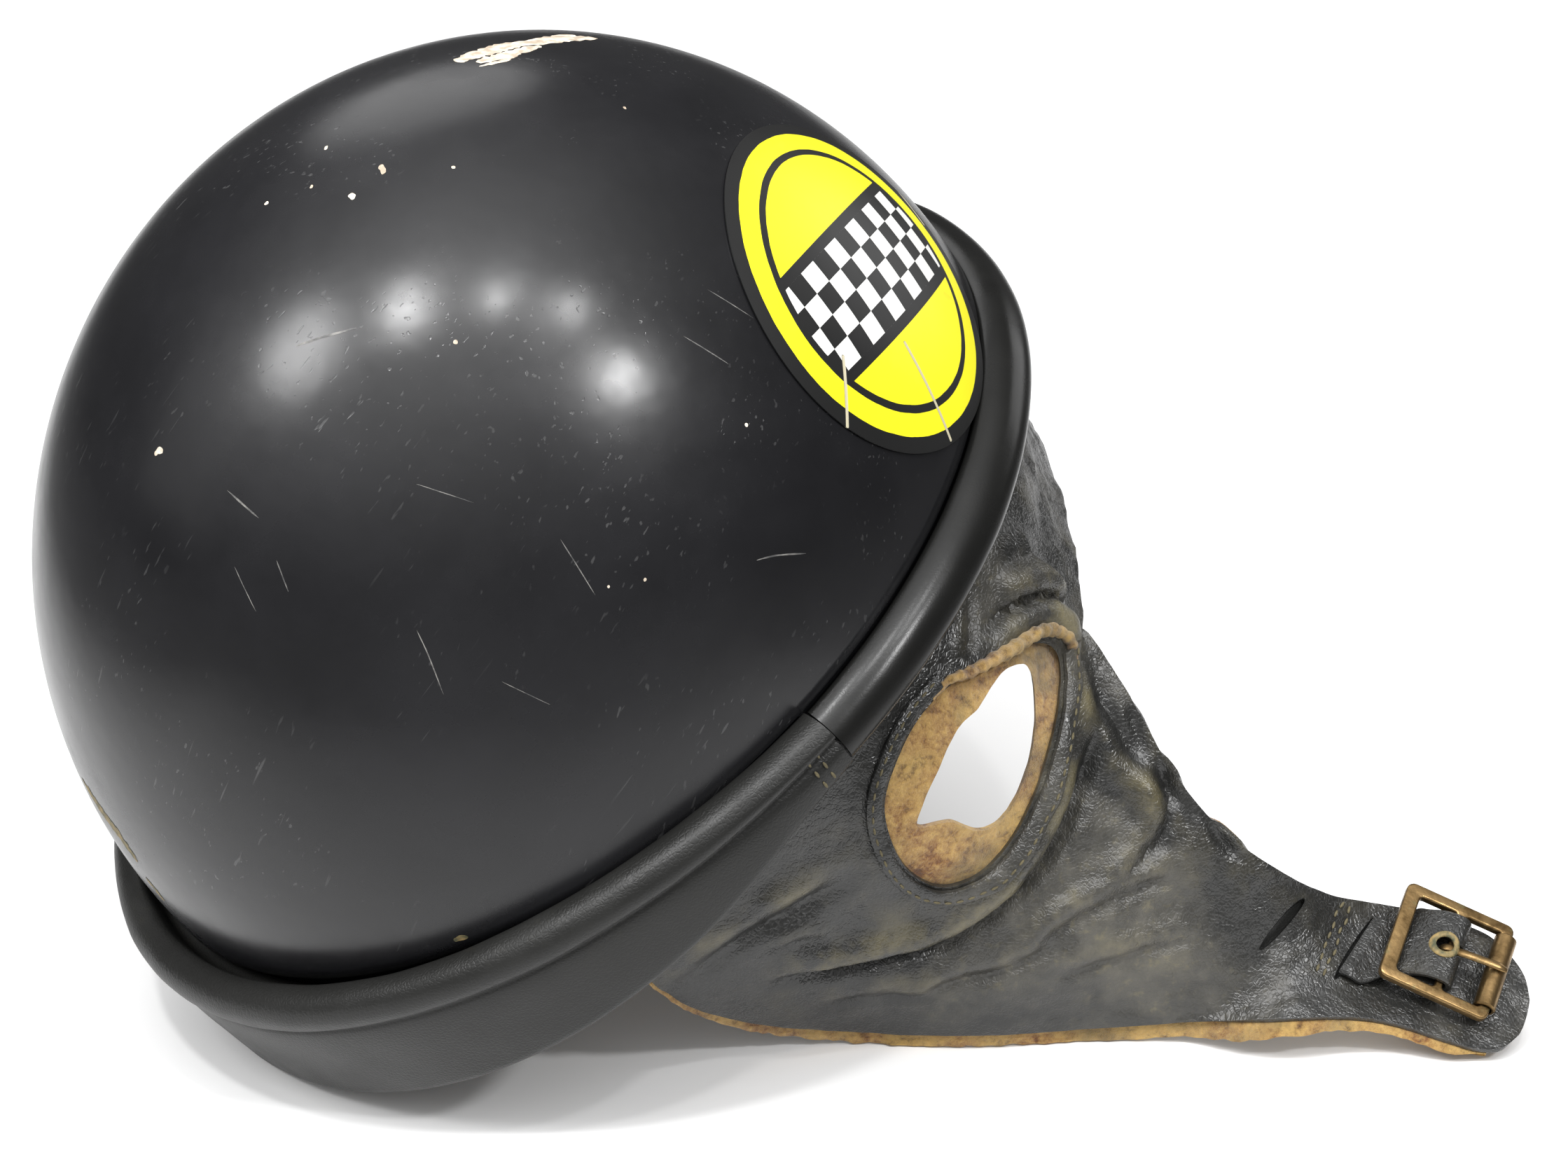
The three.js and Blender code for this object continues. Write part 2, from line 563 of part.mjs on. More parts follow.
// Far chin strap, finished plainly: sewn on the far tab, over its end and flat on the floor
const FAR_STRAP = { width: 19, thick: 2.4, holes: 5, pitch: 10.8, holeRadius: 2 };
const FAR_RUN = [
  { x: 151.6, y: -159.6, z: -89.1, tilt: 28 },
  { x: 157.4, y: -166.6, z: -93.4, tilt: 28 },
  { x: 164.2, y: -175.8, z: -97.3, tilt: 28 },
  { x: 171.4, y: -184.6, z: -101.1, tilt: 28 },
  { x: 176.2, y: -190.3, z: -103.2, tilt: 26 },
  { x: 181.8, y: -196.2, z: -105.2, tilt: 18 },
  { x: 189.5, y: -204.5, z: -111.2, tilt: 6 },
  { x: 196, y: -211.8, z: -114.6, tilt: 0 },
  { x: 228, y: -248, z: -114.6, tilt: 0 },
];
function farStrap() {
  const across = vec(Math.cos(rad(BUCKLE.heading + 90)), Math.sin(rad(BUCKLE.heading + 90)), 0);
  const rings = FAR_RUN.map((p, i) => {
    const a = FAR_RUN[Math.max(i - 1, 0)];
    const b = FAR_RUN[Math.min(i + 1, FAR_RUN.length - 1)];
    const along = vec(b.x - a.x, b.y - a.y, b.z - a.z).normalize();
    const side = across.clone().applyAxisAngle(along, rad(p.tilt));
    const up = along.clone().cross(side).normalize();
    const last = i === FAR_RUN.length - 1 ? 0.45 : 1;
    const w = (FAR_STRAP.width / 2) * last;
    const h = FAR_STRAP.thick / 2;
    const corner = (sw, sh) => vec(p.x, p.y, p.z).addScaledVector(side, sw * w).addScaledVector(up, sh * h);
    return [corner(-1, -1), corner(1, -1), corner(1, 1), corner(-1, 1)];
  });
  const from = FAR_RUN[FAR_RUN.length - 2];
  const to = FAR_RUN[FAR_RUN.length - 1];
  const run = vec(to.x - from.x, to.y - from.y, 0);
  const strap = solidOf(loft(rings));
  const punched = spread(0, FAR_STRAP.holes - 1, FAR_STRAP.holes - 1).reduce((solid, i) => {
    const spot = run.clone().setLength(2 + i * FAR_STRAP.pitch);
    const punch = new THREE.CylinderGeometry(FAR_STRAP.holeRadius, FAR_STRAP.holeRadius, 12, 8);
    punch.rotateX(Math.PI / 2).translate(from.x + spot.x, from.y + spot.y, from.z);
    return solid.subtract(solidOf(punch));
  }, strap);
  return mirrored(geometryOf(punched));
}

// Nape curtain: hangs inside the rim between the flaps and meets their rear edges
const NAPE = {
  wall: 3, tuck: 8, sideDrop: 84, midDrop: 62, draw: 0.8, taper: 0.5, apart: 1.6,
  lap: 0.98, behind: 6.7, blend: 0.28, flapRows: 4.3,
};
function napeSurface(u, v) {
  const left = u <= 0.5;
  const t = left ? u : 1 - u;
  const start = FLAP_END + NAPE.apart;
  const angle = start + (180 - start) * 2 * t;
  const drop = NAPE.midDrop + (NAPE.sideDrop - NAPE.midDrop) * (1 - 2 * t) ** 2;
  const out = INSIDE - NAPE.draw * THREE.MathUtils.smoothstep(v, 0.1, 0.3) - NAPE.taper * v;
  const hang = rimPoint(angle, out, NAPE.tuck - v * (NAPE.tuck + drop)).applyEuler(NOSE_DOWN);
  const row = v * NAPE.flapRows;
  const edge = flapSurface(NAPE.lap, row).addScaledVector(normalAt(flapSurface, NAPE.lap, row), -NAPE.behind);
  const mix = THREE.MathUtils.smoothstep(t, 0, NAPE.blend);
  const point = edge.lerp(hang, v < 0.18 ? 1 : mix);
  if (!left) point.y = -point.y;
  return point;
}

function napeCurtain() {
  return wall(napeSurface, spread(0, 1, 20), spread(0, 1, 7), 0, NAPE.wall);
}

// Decal patch laid on the shell
const DECAL = { angle: 136.5, rise: 18.5, around: 48, up: 49.2, turn: 14.6, lift: 0.3, thick: 0.4 };
function onShell(point, out) {
  const { halfLength, halfWidth, dome, skirtTop } = SHELL;
  const q = point.clone().sub(vec(0, 0, skirtTop));
  const size = Math.hypot(q.x / halfLength, q.y / halfWidth, q.z / dome);
  const seat = q.divideScalar(size);
  const normal = vec(seat.x / halfLength ** 2, seat.y / halfWidth ** 2, seat.z / dome ** 2).normalize();
  return seat.add(vec(0, 0, skirtTop)).addScaledVector(normal, out);
}

function decal() {
  const a = rad(DECAL.angle);
  const e = rad(DECAL.rise);
  const middle = vec(
    -Math.cos(a) * Math.cos(e) * SHELL.halfLength,
    -Math.sin(a) * Math.cos(e) * SHELL.halfWidth,
    Math.sin(e) * SHELL.dome + SHELL.skirtTop,
  );
  const normal = onShell(middle, 1).sub(onShell(middle, 0)).normalize();
  const along = vec(0, 0, 1).cross(normal).normalize();
  const upwards = normal.clone().cross(along);
  const sides = 28;
  const circles = [0.34, 0.68, 1];
  const spot = (size, t, out) => {
    const b = 2 * Math.PI * t + rad(DECAL.turn);
    const p = middle.clone().addScaledVector(along, size * DECAL.around * Math.cos(b));
    return onShell(p.addScaledVector(upwards, size * DECAL.up * Math.sin(b)), out);
  };
  const positions = [];
  const index = [];
  const layers = [DECAL.lift, DECAL.lift + DECAL.thick];
  for (const out of layers) {
    positions.push(spot(0, 0, out));
    for (const size of circles) for (let j = 0; j < sides; j += 1) positions.push(spot(size, j / sides, out));
  }
  const stride = 1 + circles.length * sides;
  const at = (layer, ring, j) => layer * stride + 1 + ring * sides + (j % sides);
  const face = (layer, p, q, r) => (layer === 1 ? index.push(p, q, r) : index.push(p, r, q));
  for (let layer = 0; layer < layers.length; layer += 1) {
    for (let j = 0; j < sides; j += 1) {
      face(layer, layer * stride, at(layer, 0, j), at(layer, 0, j + 1));
      for (let ring = 0; ring + 1 < circles.length; ring += 1) {
        face(layer, at(layer, ring, j), at(layer, ring + 1, j), at(layer, ring + 1, j + 1));
        face(layer, at(layer, ring, j), at(layer, ring + 1, j + 1), at(layer, ring, j + 1));
      }
    }
  }
  const rim = circles.length - 1;
  for (let j = 0; j < sides; j += 1) {
    index.push(at(0, rim, j), at(0, rim, j + 1), at(1, rim, j + 1));
    index.push(at(0, rim, j), at(1, rim, j + 1), at(1, rim, j));
  }
  const geometry = new THREE.BufferGeometry();
  const numbers = positions.flatMap((p) => [p.x, p.y, p.z]);
  geometry.setAttribute('position', new THREE.Float32BufferAttribute(numbers, 3));
  geometry.setIndex(index);
  return geometry;
}

add(helmet, 'shell', shell(), FINISH.shell);
add(helmet, 'decal', decal(), FINISH.decal);
add(helmet, 'peak', peak(), FINISH.peak);
add(helmet, 'back_trim', backTrim(), FINISH.trim);
add(harness, 'near_flap', geometryOf(slottedFlap), FINISH.leather);
add(harness, 'near_flap_lining', suedeFlap, FINISH.suede);
add(harness, 'near_ear_welt', welt, FINISH.leather);
add(harness, 'far_flap', mirrored(geometryOf(leatherFlap)), FINISH.leather);
add(harness, 'far_flap_lining', mirrored(suedeFlap), FINISH.suede);
add(harness, 'far_ear_welt', mirrored(welt), FINISH.leather);
add(harness, 'nape_curtain', napeCurtain(), FINISH.leather);
add(harness, 'buckle_strap', buckleStrap(), FINISH.leather);
add(harness, 'buckle_frame', buckleFrame(), FINISH.brass);
add(harness, 'buckle_roller', buckleRoller(), FINISH.brass);
add(harness, 'buckle_prong', buckleProng(), FINISH.brass);
add(harness, 'far_strap', farStrap(), FINISH.leather);

export default part;
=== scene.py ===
"""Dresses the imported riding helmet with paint, leather, suede, brass and thread, and sets its stage."""

import math

import bmesh
import bpy
import numpy as np
from mathutils import Matrix, Vector, noise


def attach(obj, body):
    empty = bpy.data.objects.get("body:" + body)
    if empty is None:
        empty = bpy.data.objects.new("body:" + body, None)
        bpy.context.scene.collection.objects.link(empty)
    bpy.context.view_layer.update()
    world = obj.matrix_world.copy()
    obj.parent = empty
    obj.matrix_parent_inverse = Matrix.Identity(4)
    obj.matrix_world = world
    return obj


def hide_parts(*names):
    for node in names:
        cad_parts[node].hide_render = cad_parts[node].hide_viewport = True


bl_info = {
    "name": "Riding Helmet",
    "version": (1, 0, 0),
    "blender": (4, 5, 0),
    "location": "View3D > Sidebar > Helmet",
    "description": "Builds a worn half-shell riding helmet with a peak and leather ear flaps",
    "category": "Object",
}

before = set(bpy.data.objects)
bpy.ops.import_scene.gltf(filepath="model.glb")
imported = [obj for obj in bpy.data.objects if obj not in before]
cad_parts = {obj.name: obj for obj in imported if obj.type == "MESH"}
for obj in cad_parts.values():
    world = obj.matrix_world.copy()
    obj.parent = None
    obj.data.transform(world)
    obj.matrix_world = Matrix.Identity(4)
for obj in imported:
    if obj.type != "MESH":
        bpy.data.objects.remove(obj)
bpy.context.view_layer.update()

# Sizes are millimetres from the centre of the rim, in the standing helmet, unless a line says otherwise
MM = 0.001
PLACE = np.array((-45.1, -26.5, 116.33))
PITCH = math.radians(35.3)
SHELL = {"half_length": 137, "half_width": 114.2, "dome": 145.4, "skirt_top": 2.7, "skirt_foot": -6, "wall": 3}
RIM_SCALE = 0.98
GAP = 0.3
LEATHER = 1.6
SUEDE = 1.8
SUEDE_REACH = 5.4
FLOOR = -PLACE[2]
SEAM_ANGLE = 89.85
FLAP_START = 64
FLAP_END = 131
INSIDE = -(SHELL["wall"] + GAP + 0.35)


# Places and curves
def standing(points):
    """Points of the level helmet, pitched nose-down."""
    c, s = math.cos(PITCH), math.sin(PITCH)
    x, y, z = points[..., 0], points[..., 1], points[..., 2]
    return np.stack((c * x - s * z, y, s * x + c * z), -1)


def rim_point(angle, out, z):
    """Point of the level rim oval, at an angle from the nose towards the wearer's left."""
    a = np.radians(angle)
    x = -(SHELL["half_length"] * RIM_SCALE + out) * np.cos(a)
    y = -(SHELL["half_width"] * RIM_SCALE + out) * np.sin(a)
    return np.stack(np.broadcast_arrays(x, y, z), -1).astype(float)


def smoothstep(value, low, high):
    t = np.clip((value - low) / (high - low), 0, 1)
    return t * t * (3 - 2 * t)


def through(a, b, c, d, t):
    """Smooth curve through four values, between the middle two."""
    slope_in = (c - a) / 2
    slope_out = (d - b) / 2
    cubic = 2 * b - 2 * c + slope_in + slope_out
    square = -3 * b + 3 * c - 2 * slope_in - slope_out
    return ((cubic * t + square) * t + slope_in) * t + b


def curve_through(points, steps, closed=False):
    """Points of a smooth curve through a short list, with even steps from each to the next."""
    p = np.array(points, float)
    count = len(p)
    spans = count if closed else count - 1
    out = []
    for i in range(spans):
        near = [(i + k) % count if closed else min(max(i + k, 0), count - 1) for k in (-1, 0, 1, 2)]
        for t in np.arange(steps) / steps:
            out.append(through(*(p[k] for k in near), t))
    if not closed:
        out.append(p[-1])
    return np.array(out)


def rounded(points, passes, closed=True):
    """A polygon with its corners cut again and again, which leaves a soft outline."""
    p = np.array(points, float)
    for _ in range(passes):
        q = np.roll(p, -1, axis=0)
        p = np.stack((0.75 * p + 0.25 * q, 0.25 * p + 0.75 * q), 1).reshape(-1, p.shape[-1])
    return p


def unit(vectors):
    return vectors / np.maximum(np.linalg.norm(vectors, axis=-1, keepdims=True), 1e-9)


# Meshes
def sheet_faces(rows, columns):
    """Quads of a grid whose outer side is seen with rows running down and columns to the right."""
    j, i = np.meshgrid(np.arange(rows - 1), np.arange(columns - 1), indexing="ij")
    a = (j * columns + i).ravel()
    return np.stack((a, a + columns, a + columns + 1, a + 1), -1).tolist()


def tube_faces(rings, count, hoop=False):
    """Quads of a run of closed rings, with flat ends unless the run is a hoop."""
    faces = []
    for i in range(rings if hoop else rings - 1):
        for j in range(count):
            k = (j + 1) % count
            a, b = i * count, ((i + 1) % rings) * count
            faces.append((a + j, a + k, b + k, b + j))
    if not hoop:
        faces.append(tuple(range(count)))
        faces.append(tuple((rings - 1) * count + j for j in reversed(range(count))))
    return faces


def piece(name, points, faces, *materials):
    """A smooth-shaded object at the origin, made from millimetre points."""
    mesh = bpy.data.meshes.new(name)
    mesh.from_pydata(((np.asarray(points).reshape(-1, 3) + PLACE) * MM).tolist(), [], faces)
    for material in materials:
        mesh.materials.append(material)
    mesh.shade_smooth()
    thing = bpy.data.objects.new(name, mesh)
    bpy.context.scene.collection.objects.link(thing)
    return thing


def tidy_solid(thing, sharp=40):
    """Merges doubles, turns faces outwards and keeps real corners sharp."""
    work = bmesh.new()
    work.from_mesh(thing.data)
    bmesh.ops.remove_doubles(work, verts=work.verts, dist=1e-6)
    bmesh.ops.recalc_face_normals(work, faces=work.faces)
    work.to_mesh(thing.data)
    work.free()
    thing.data.set_sharp_from_angle(angle=math.radians(sharp))
    return thing


def settle(thing, sharp=40):
    """Turns what the modifiers make into the piece's plain mesh."""
    bpy.context.view_layer.update()
    graph = bpy.context.evaluated_depsgraph_get()
    mesh = bpy.data.meshes.new_from_object(thing.evaluated_get(graph))
    thing.modifiers.clear()
    old = thing.data
    thing.data = mesh
    bpy.data.meshes.remove(old)
    mesh.name = thing.name
    mesh.shade_smooth()
    mesh.set_sharp_from_angle(angle=math.radians(sharp))
    return thing


def thicken(thing, thickness, corner=0.0):
    wall = thing.modifiers.new("wall", "SOLIDIFY")
    wall.thickness = thickness * MM
    wall.offset = -1
    wall.use_even_offset = False
    if corner:
        soft = thing.modifiers.new("corner", "BEVEL")
        soft.width = corner * MM
        soft.segments = 2
        soft.limit_method = "ANGLE"
        soft.angle_limit = math.radians(60)
    return settle(thing)


def carve(thing, *cutters):
    """Cuts closed pieces out of one and deletes them."""
    for cutter in cutters:
        cut = thing.modifiers.new("cut", "BOOLEAN")
        cut.operation = "DIFFERENCE"
        cut.solver = "EXACT"
        cut.object = cutter
    settle(thing)
    for cutter in cutters:
        bpy.data.objects.remove(cutter)
    return thing


def prism(name, outline, axes, low, high):
    """Closed prism for carving: an outline on two axes, from low to high on the third."""
    right, up, out = (np.array(a) for a in axes)
    flat = outline[:, :1] * right + outline[:, 1:2] * up
    rings = np.stack((flat + low * out, flat + high * out))
    return tidy_solid(piece(name, rings, tube_faces(2, len(outline))))


def loft(name, rings, *materials, hoop=False, sharp=40):
    rings = np.asarray(rings)
    return tidy_solid(piece(name, rings, tube_faces(len(rings), rings.shape[1], hoop), *materials), sharp)


def mirrored(thing, name):
    """Copy on the other side of the helmet's middle plane."""
    middle = PLACE[1] * MM
    mesh = thing.data.copy()
    mesh.name = name
    work = bmesh.new()
    work.from_mesh(mesh)
    for vertex in work.verts:
        vertex.co.y = 2 * middle - vertex.co.y
    bmesh.ops.reverse_faces(work, faces=work.faces)
    work.to_mesh(mesh)
    work.free()
    copy = bpy.data.objects.new(name, mesh)
    bpy.context.scene.collection.objects.link(copy)
    return copy


def dress(thing, slot, *nodes, body="helmet"):
    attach(thing, body)
    if nodes:
        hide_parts(*nodes)
    return thing


# Shader helpers
def tint(red, green, blue):
    """Linear colour from 0-255 screen values."""
    return tuple(((c / 255 + 0.055) / 1.055) ** 2.4 if c > 10 else c / 255 / 12.92 for c in (red, green, blue)) + (1,)


def wire(tree, kind, settings=None, **sockets):
    node = tree.nodes.new(kind)
    for key, value in (settings or {}).items():
        setattr(node, key, value)
    for key, value in sockets.items():
        plug(tree, node.inputs[key.replace("_", " ")], value)
    return node


def plug(tree, socket, value):
    if isinstance(value, bpy.types.NodeSocket):
        tree.links.new(value, socket)
    else:
        socket.default_value = value


def maths(tree, operation, *values, clamp=False):
    node = tree.nodes.new("ShaderNodeMath")
    node.operation = operation
    node.use_clamp = clamp
    for socket, value in zip(node.inputs, values):
        plug(tree, socket, value)
    return node.outputs[0]


def arrows(tree, operation, *values, out="Vector"):
    node = tree.nodes.new("ShaderNodeVectorMath")
    node.operation = operation
    sockets = [node.inputs[0], node.inputs[1]] if operation != "SCALE" else [node.inputs[0], node.inputs["Scale"]]
    for socket, value in zip(sockets, values):
        plug(tree, socket, value)
    return node.outputs[out]


def mixed(tree, factor, first, second):
    node = tree.nodes.new("ShaderNodeMix")
    node.data_type = "RGBA"
    plug(tree, node.inputs[0], factor)
    plug(tree, node.inputs[6], first)
    plug(tree, node.inputs[7], second)
    return node.outputs[2]


def ranged(tree, value, low, high, to_low=0.0, to_high=1.0):
    node = wire(tree, "ShaderNodeMapRange", Value=value)
    for name, number in (("From Min", low), ("From Max", high), ("To Min", to_low), ("To Max", to_high)):
        plug(tree, node.inputs[name], number)
    return node.outputs[0]


def speckle(tree, vector, scale, detail=4.0, roughness=0.55):
    node = wire(tree, "ShaderNodeTexNoise", Vector=vector, Scale=scale, Detail=detail, Roughness=roughness)
    return node.outputs["Fac"]


def shader_group(name, inputs, outputs, build):
    """A shared node group: inputs are (kind, name, default), outputs are (kind, name)."""
    if name in bpy.data.node_groups:
        return bpy.data.node_groups[name]
    tree = bpy.data.node_groups.new(name, "ShaderNodeTree")
    for kind, label, default in inputs:
        socket = tree.interface.new_socket(label, in_out="INPUT", socket_type="NodeSocket" + kind)
        if default is not None:
            socket.default_value = default
    for kind, label in outputs:
        tree.interface.new_socket(label, in_out="OUTPUT", socket_type="NodeSocket" + kind)
    given = tree.nodes.new("NodeGroupInput")
    result = tree.nodes.new("NodeGroupOutput")
    for label, value in build(tree, given.outputs).items():
        plug(tree, result.inputs[label], value)
    return tree


def placed(tree, group, **sockets):
    node = tree.nodes.new("ShaderNodeGroup")
    node.node_tree = group
    for key, value in sockets.items():
        plug(tree, node.inputs[key], value)
    return node.outputs


def grain_group():
    """Fine pebbled leather: cells broken up by noise."""

    def build(tree, given):
        bent = speckle(tree, given["Vector"], 90.0, 2.0)
        moved = arrows(tree, "ADD", given["Vector"], arrows(tree, "SCALE", (1.0, 1.0, 1.0), maths(tree, "MULTIPLY", bent, 0.004)))
        cells = wire(tree, "ShaderNodeTexVoronoi", {"feature": "DISTANCE_TO_EDGE"}, Vector=moved, Scale=given["Scale"])
        pebbles = ranged(tree, cells.outputs["Distance"], 0.0, 0.22)
        fine = speckle(tree, given["Vector"], 900.0, 3.0)
        height = maths(tree, "ADD", maths(tree, "MULTIPLY", pebbles, 0.7), maths(tree, "MULTIPLY", fine, 0.3))
        return {"Height": height, "Pits": maths(tree, "SUBTRACT", 1.0, pebbles)}

    return shader_group(
        "leather grain",
        [("Vector", "Vector", None), ("Float", "Scale", 500.0)],
        [("Float", "Height"), ("Float", "Pits")],
        build,
    )


def cloud_group():
    """Soft patches between two thresholds of a noise."""

    def build(tree, given):
        value = speckle(tree, given["Vector"], given["Scale"], 6.0, 0.6)
        return {"Mask": ranged(tree, value, given["Low"], given["High"])}

    return shader_group(
        "patches",
        [("Vector", "Vector", None), ("Float", "Scale", 20.0), ("Float", "Low", 0.4), ("Float", "High", 0.7)],
        [("Float", "Mask")],
        build,
    )


def streak_group():
    """Hair-thin rubbed lines that run along one direction."""

    def build(tree, given):
        turned = wire(tree, "ShaderNodeMapping", Vector=given["Vector"], Rotation=given["Turn"])
        long = arrows(tree, "MULTIPLY", turned.outputs[0], (1.0, 26.0, 26.0))
        lines = speckle(tree, long, given["Scale"], 2.0, 0.4)
        where = speckle(tree, given["Vector"], 26.0, 2.0)
        thin = ranged(tree, lines, 0.69, 0.74)
        return {"Mask": maths(tree, "MULTIPLY", thin, ranged(tree, where, 0.48, 0.66))}

    return shader_group(
        "rubbed lines",
        [("Vector", "Vector", None), ("Vector", "Turn", (0.0, 0.0, 0.0)), ("Float", "Scale", 30.0)],
        [("Float", "Mask")],
        build,
    )


def mark_group():
    """One ragged mark between two places."""

    def build(tree, given):
        jitter = arrows(tree, "SUBTRACT", wire(tree, "ShaderNodeTexNoise", Vector=given["Vector"], Scale=260.0, Detail=4.0).outputs["Color"], (0.5, 0.5, 0.5))
        spot = arrows(tree, "ADD", given["Vector"], arrows(tree, "SCALE", jitter, given["Ragged"]))
        along = arrows(tree, "SUBTRACT", given["End"], given["Start"])
        reach = arrows(tree, "SUBTRACT", spot, given["Start"])
        length = arrows(tree, "DOT_PRODUCT", along, along, out="Value")
        share = maths(tree, "DIVIDE", arrows(tree, "DOT_PRODUCT", reach, along, out="Value"), maths(tree, "MAXIMUM", length, 1e-9), clamp=True)
        foot = arrows(tree, "SCALE", along, share)
        away = arrows(tree, "LENGTH", arrows(tree, "SUBTRACT", reach, foot), out="Value")
        edge = maths(tree, "MULTIPLY", given["Width"], 0.7)
        return {"Mask": maths(tree, "SUBTRACT", 1.0, ranged(tree, away, edge, given["Width"]))}

    return shader_group(
        "mark",
        [
            ("Vector", "Vector", None),
            ("Vector", "Start", (0.0, 0.0, 0.0)),
            ("Vector", "End", (0.0, 0.0, 0.0)),
            ("Float", "Width", 0.001),
            ("Float", "Ragged", 0.002),
        ],
        [("Float", "Mask")],
        build,
    )


def blank_material(name):
    material = bpy.data.materials.new(name)
    material.use_nodes = True
    tree = material.node_tree
    surface = tree.nodes["Principled BSDF"]
    vector = tree.nodes.new("ShaderNodeTexCoord").outputs["Object"]
    return material, tree, surface, vector


def relief_of(tree, surface, height, depth, strength=1.0):
    bump = wire(tree, "ShaderNodeBump", Height=height, Distance=depth, Strength=strength)
    plug(tree, surface.inputs["Normal"], bump.outputs[0])


def shell_paint(colours):
    material, tree, surface, vector = blank_material("shell paint")
    smudge = placed(tree, cloud_group(), Vector=vector, Scale=14.0, Low=0.38, High=0.72)["Mask"]
    film = placed(tree, cloud_group(), Vector=vector, Scale=46.0, Low=0.45, High=0.8)["Mask"]
    rubbed = maths(
        tree,
        "MAXIMUM",
        placed(tree, streak_group(), Vector=vector, Turn=(0.3, 0.9, 0.5), Scale=34.0)["Mask"],
        placed(tree, streak_group(), Vector=vector, Turn=(1.1, 0.2, 1.4), Scale=27.0)["Mask"],
    )
    cells = wire(tree, "ShaderNodeTexVoronoi", Vector=vector, Scale=62.0)
    picked = maths(tree, "GREATER_THAN", wire(tree, "ShaderNodeSeparateColor", Color=cells.outputs["Color"]).outputs[0], 0.975)
    dots = maths(tree, "MULTIPLY", maths(tree, "LESS_THAN", cells.outputs["Distance"], 0.035), picked)
    paint = mixed(tree, smudge, tuple(colours.paint) + (1,), tuple(c * 1.7 for c in colours.paint) + (1,))
    paint = mixed(tree, maths(tree, "MULTIPLY", rubbed, 0.3), paint, tint(110, 110, 110))
    paint = mixed(tree, dots, paint, tint(210, 204, 190))
    plug(tree, surface.inputs["Base Color"], paint)
    gloss = ranged(tree, smudge, 0.0, 1.0, 0.2, 0.29)
    gloss = maths(tree, "ADD", gloss, maths(tree, "MULTIPLY", film, 0.07))
    plug(tree, surface.inputs["Roughness"], gloss)
    surface.inputs["Specular IOR Level"].default_value = 0.4
    height = maths(tree, "SUBTRACT", speckle(tree, vector, 60.0, 2.0), maths(tree, "MULTIPLY", rubbed, 0.2))
    relief_of(tree, surface, height, 0.00012)
    return material


def decal_print(colours):
    """Plain oval sticker: a bordered field crossed by a slanted band of chequers."""
    material, tree, surface, vector = blank_material("decal print")
    flat = wire(tree, "ShaderNodeUVMap", {"uv_map": "face"}).outputs[0]
    axes = wire(tree, "ShaderNodeSeparateXYZ", Vector=flat)
    across, up = axes.outputs[0], axes.outputs[1]
    radius = arrows(tree, "LENGTH", flat, out="Value")
    jitter = maths(tree, "MULTIPLY", maths(tree, "SUBTRACT", speckle(tree, vector, 150.0, 4.0), 0.5), 0.012)
    radius = maths(tree, "ADD", radius, jitter)
    turned = wire(tree, "ShaderNodeMapping", Vector=flat, Rotation=(0.0, 0.0, math.radians(38)))
    band = wire(tree, "ShaderNodeSeparateXYZ", Vector=turned.outputs[0])
    height = maths(tree, "ABSOLUTE", band.outputs[1])
    checks = wire(tree, "ShaderNodeTexChecker", Vector=turned.outputs[0], Scale=7.6)
    yellow = mixed(tree, placed(tree, cloud_group(), Vector=vector, Scale=40.0, Low=0.4, High=0.8)["Mask"], tuple(colours.decal) + (1,), tint(236, 226, 30))
    black = tint(17, 17, 17)
    white = tint(226, 226, 222)
    inside = maths(tree, "LESS_THAN", radius, 0.91)
    colour = mixed(tree, inside, black, yellow)
    ring = maths(tree, "LESS_THAN", maths(tree, "ABSOLUTE", maths(tree, "SUBTRACT", radius, 0.76)), 0.022)
    colour = mixed(tree, ring, colour, black)
    within = maths(tree, "LESS_THAN", radius, 0.738)
    lines = maths(tree, "MULTIPLY", maths(tree, "LESS_THAN", height, 0.325), within)
    colour = mixed(tree, lines, colour, black)
    strip = maths(tree, "MULTIPLY", maths(tree, "LESS_THAN", height, 0.2632), within)
    colour = mixed(tree, strip, colour, mixed(tree, checks.outputs["Fac"], black, white))
    crack = None
    for start, end in (((-0.98, 0.16), (-0.62, 0.24)), ((-0.72, -0.66), (-0.36, -0.2)), ((0.72, -0.62), (0.9, -0.46))):
        line = placed(
            tree, mark_group(), Vector=flat, Start=(*start, 0.0), End=(*end, 0.0), Width=0.012, Ragged=0.0
        )["Mask"]
        crack = line if crack is None else maths(tree, "MAXIMUM", crack, line)
    colour = mixed(tree, crack, colour, tint(196, 188, 160))
    dirt = placed(tree, cloud_group(), Vector=vector, Scale=70.0, Low=0.62, High=0.8)["Mask"]
    colour = mixed(tree, maths(tree, "MULTIPLY", dirt, 0.25), colour, tint(60, 58, 50))
    plug(tree, surface.inputs["Base Color"], colour)
    plug(tree, surface.inputs["Roughness"], ranged(tree, dirt, 0.0, 1.0, 0.4, 0.55))
    wave = maths(tree, "SUBTRACT", speckle(tree, vector, 40.0, 2.0), maths(tree, "MULTIPLY", crack, 0.6))
    relief_of(tree, surface, wave, 0.0003)
    return material


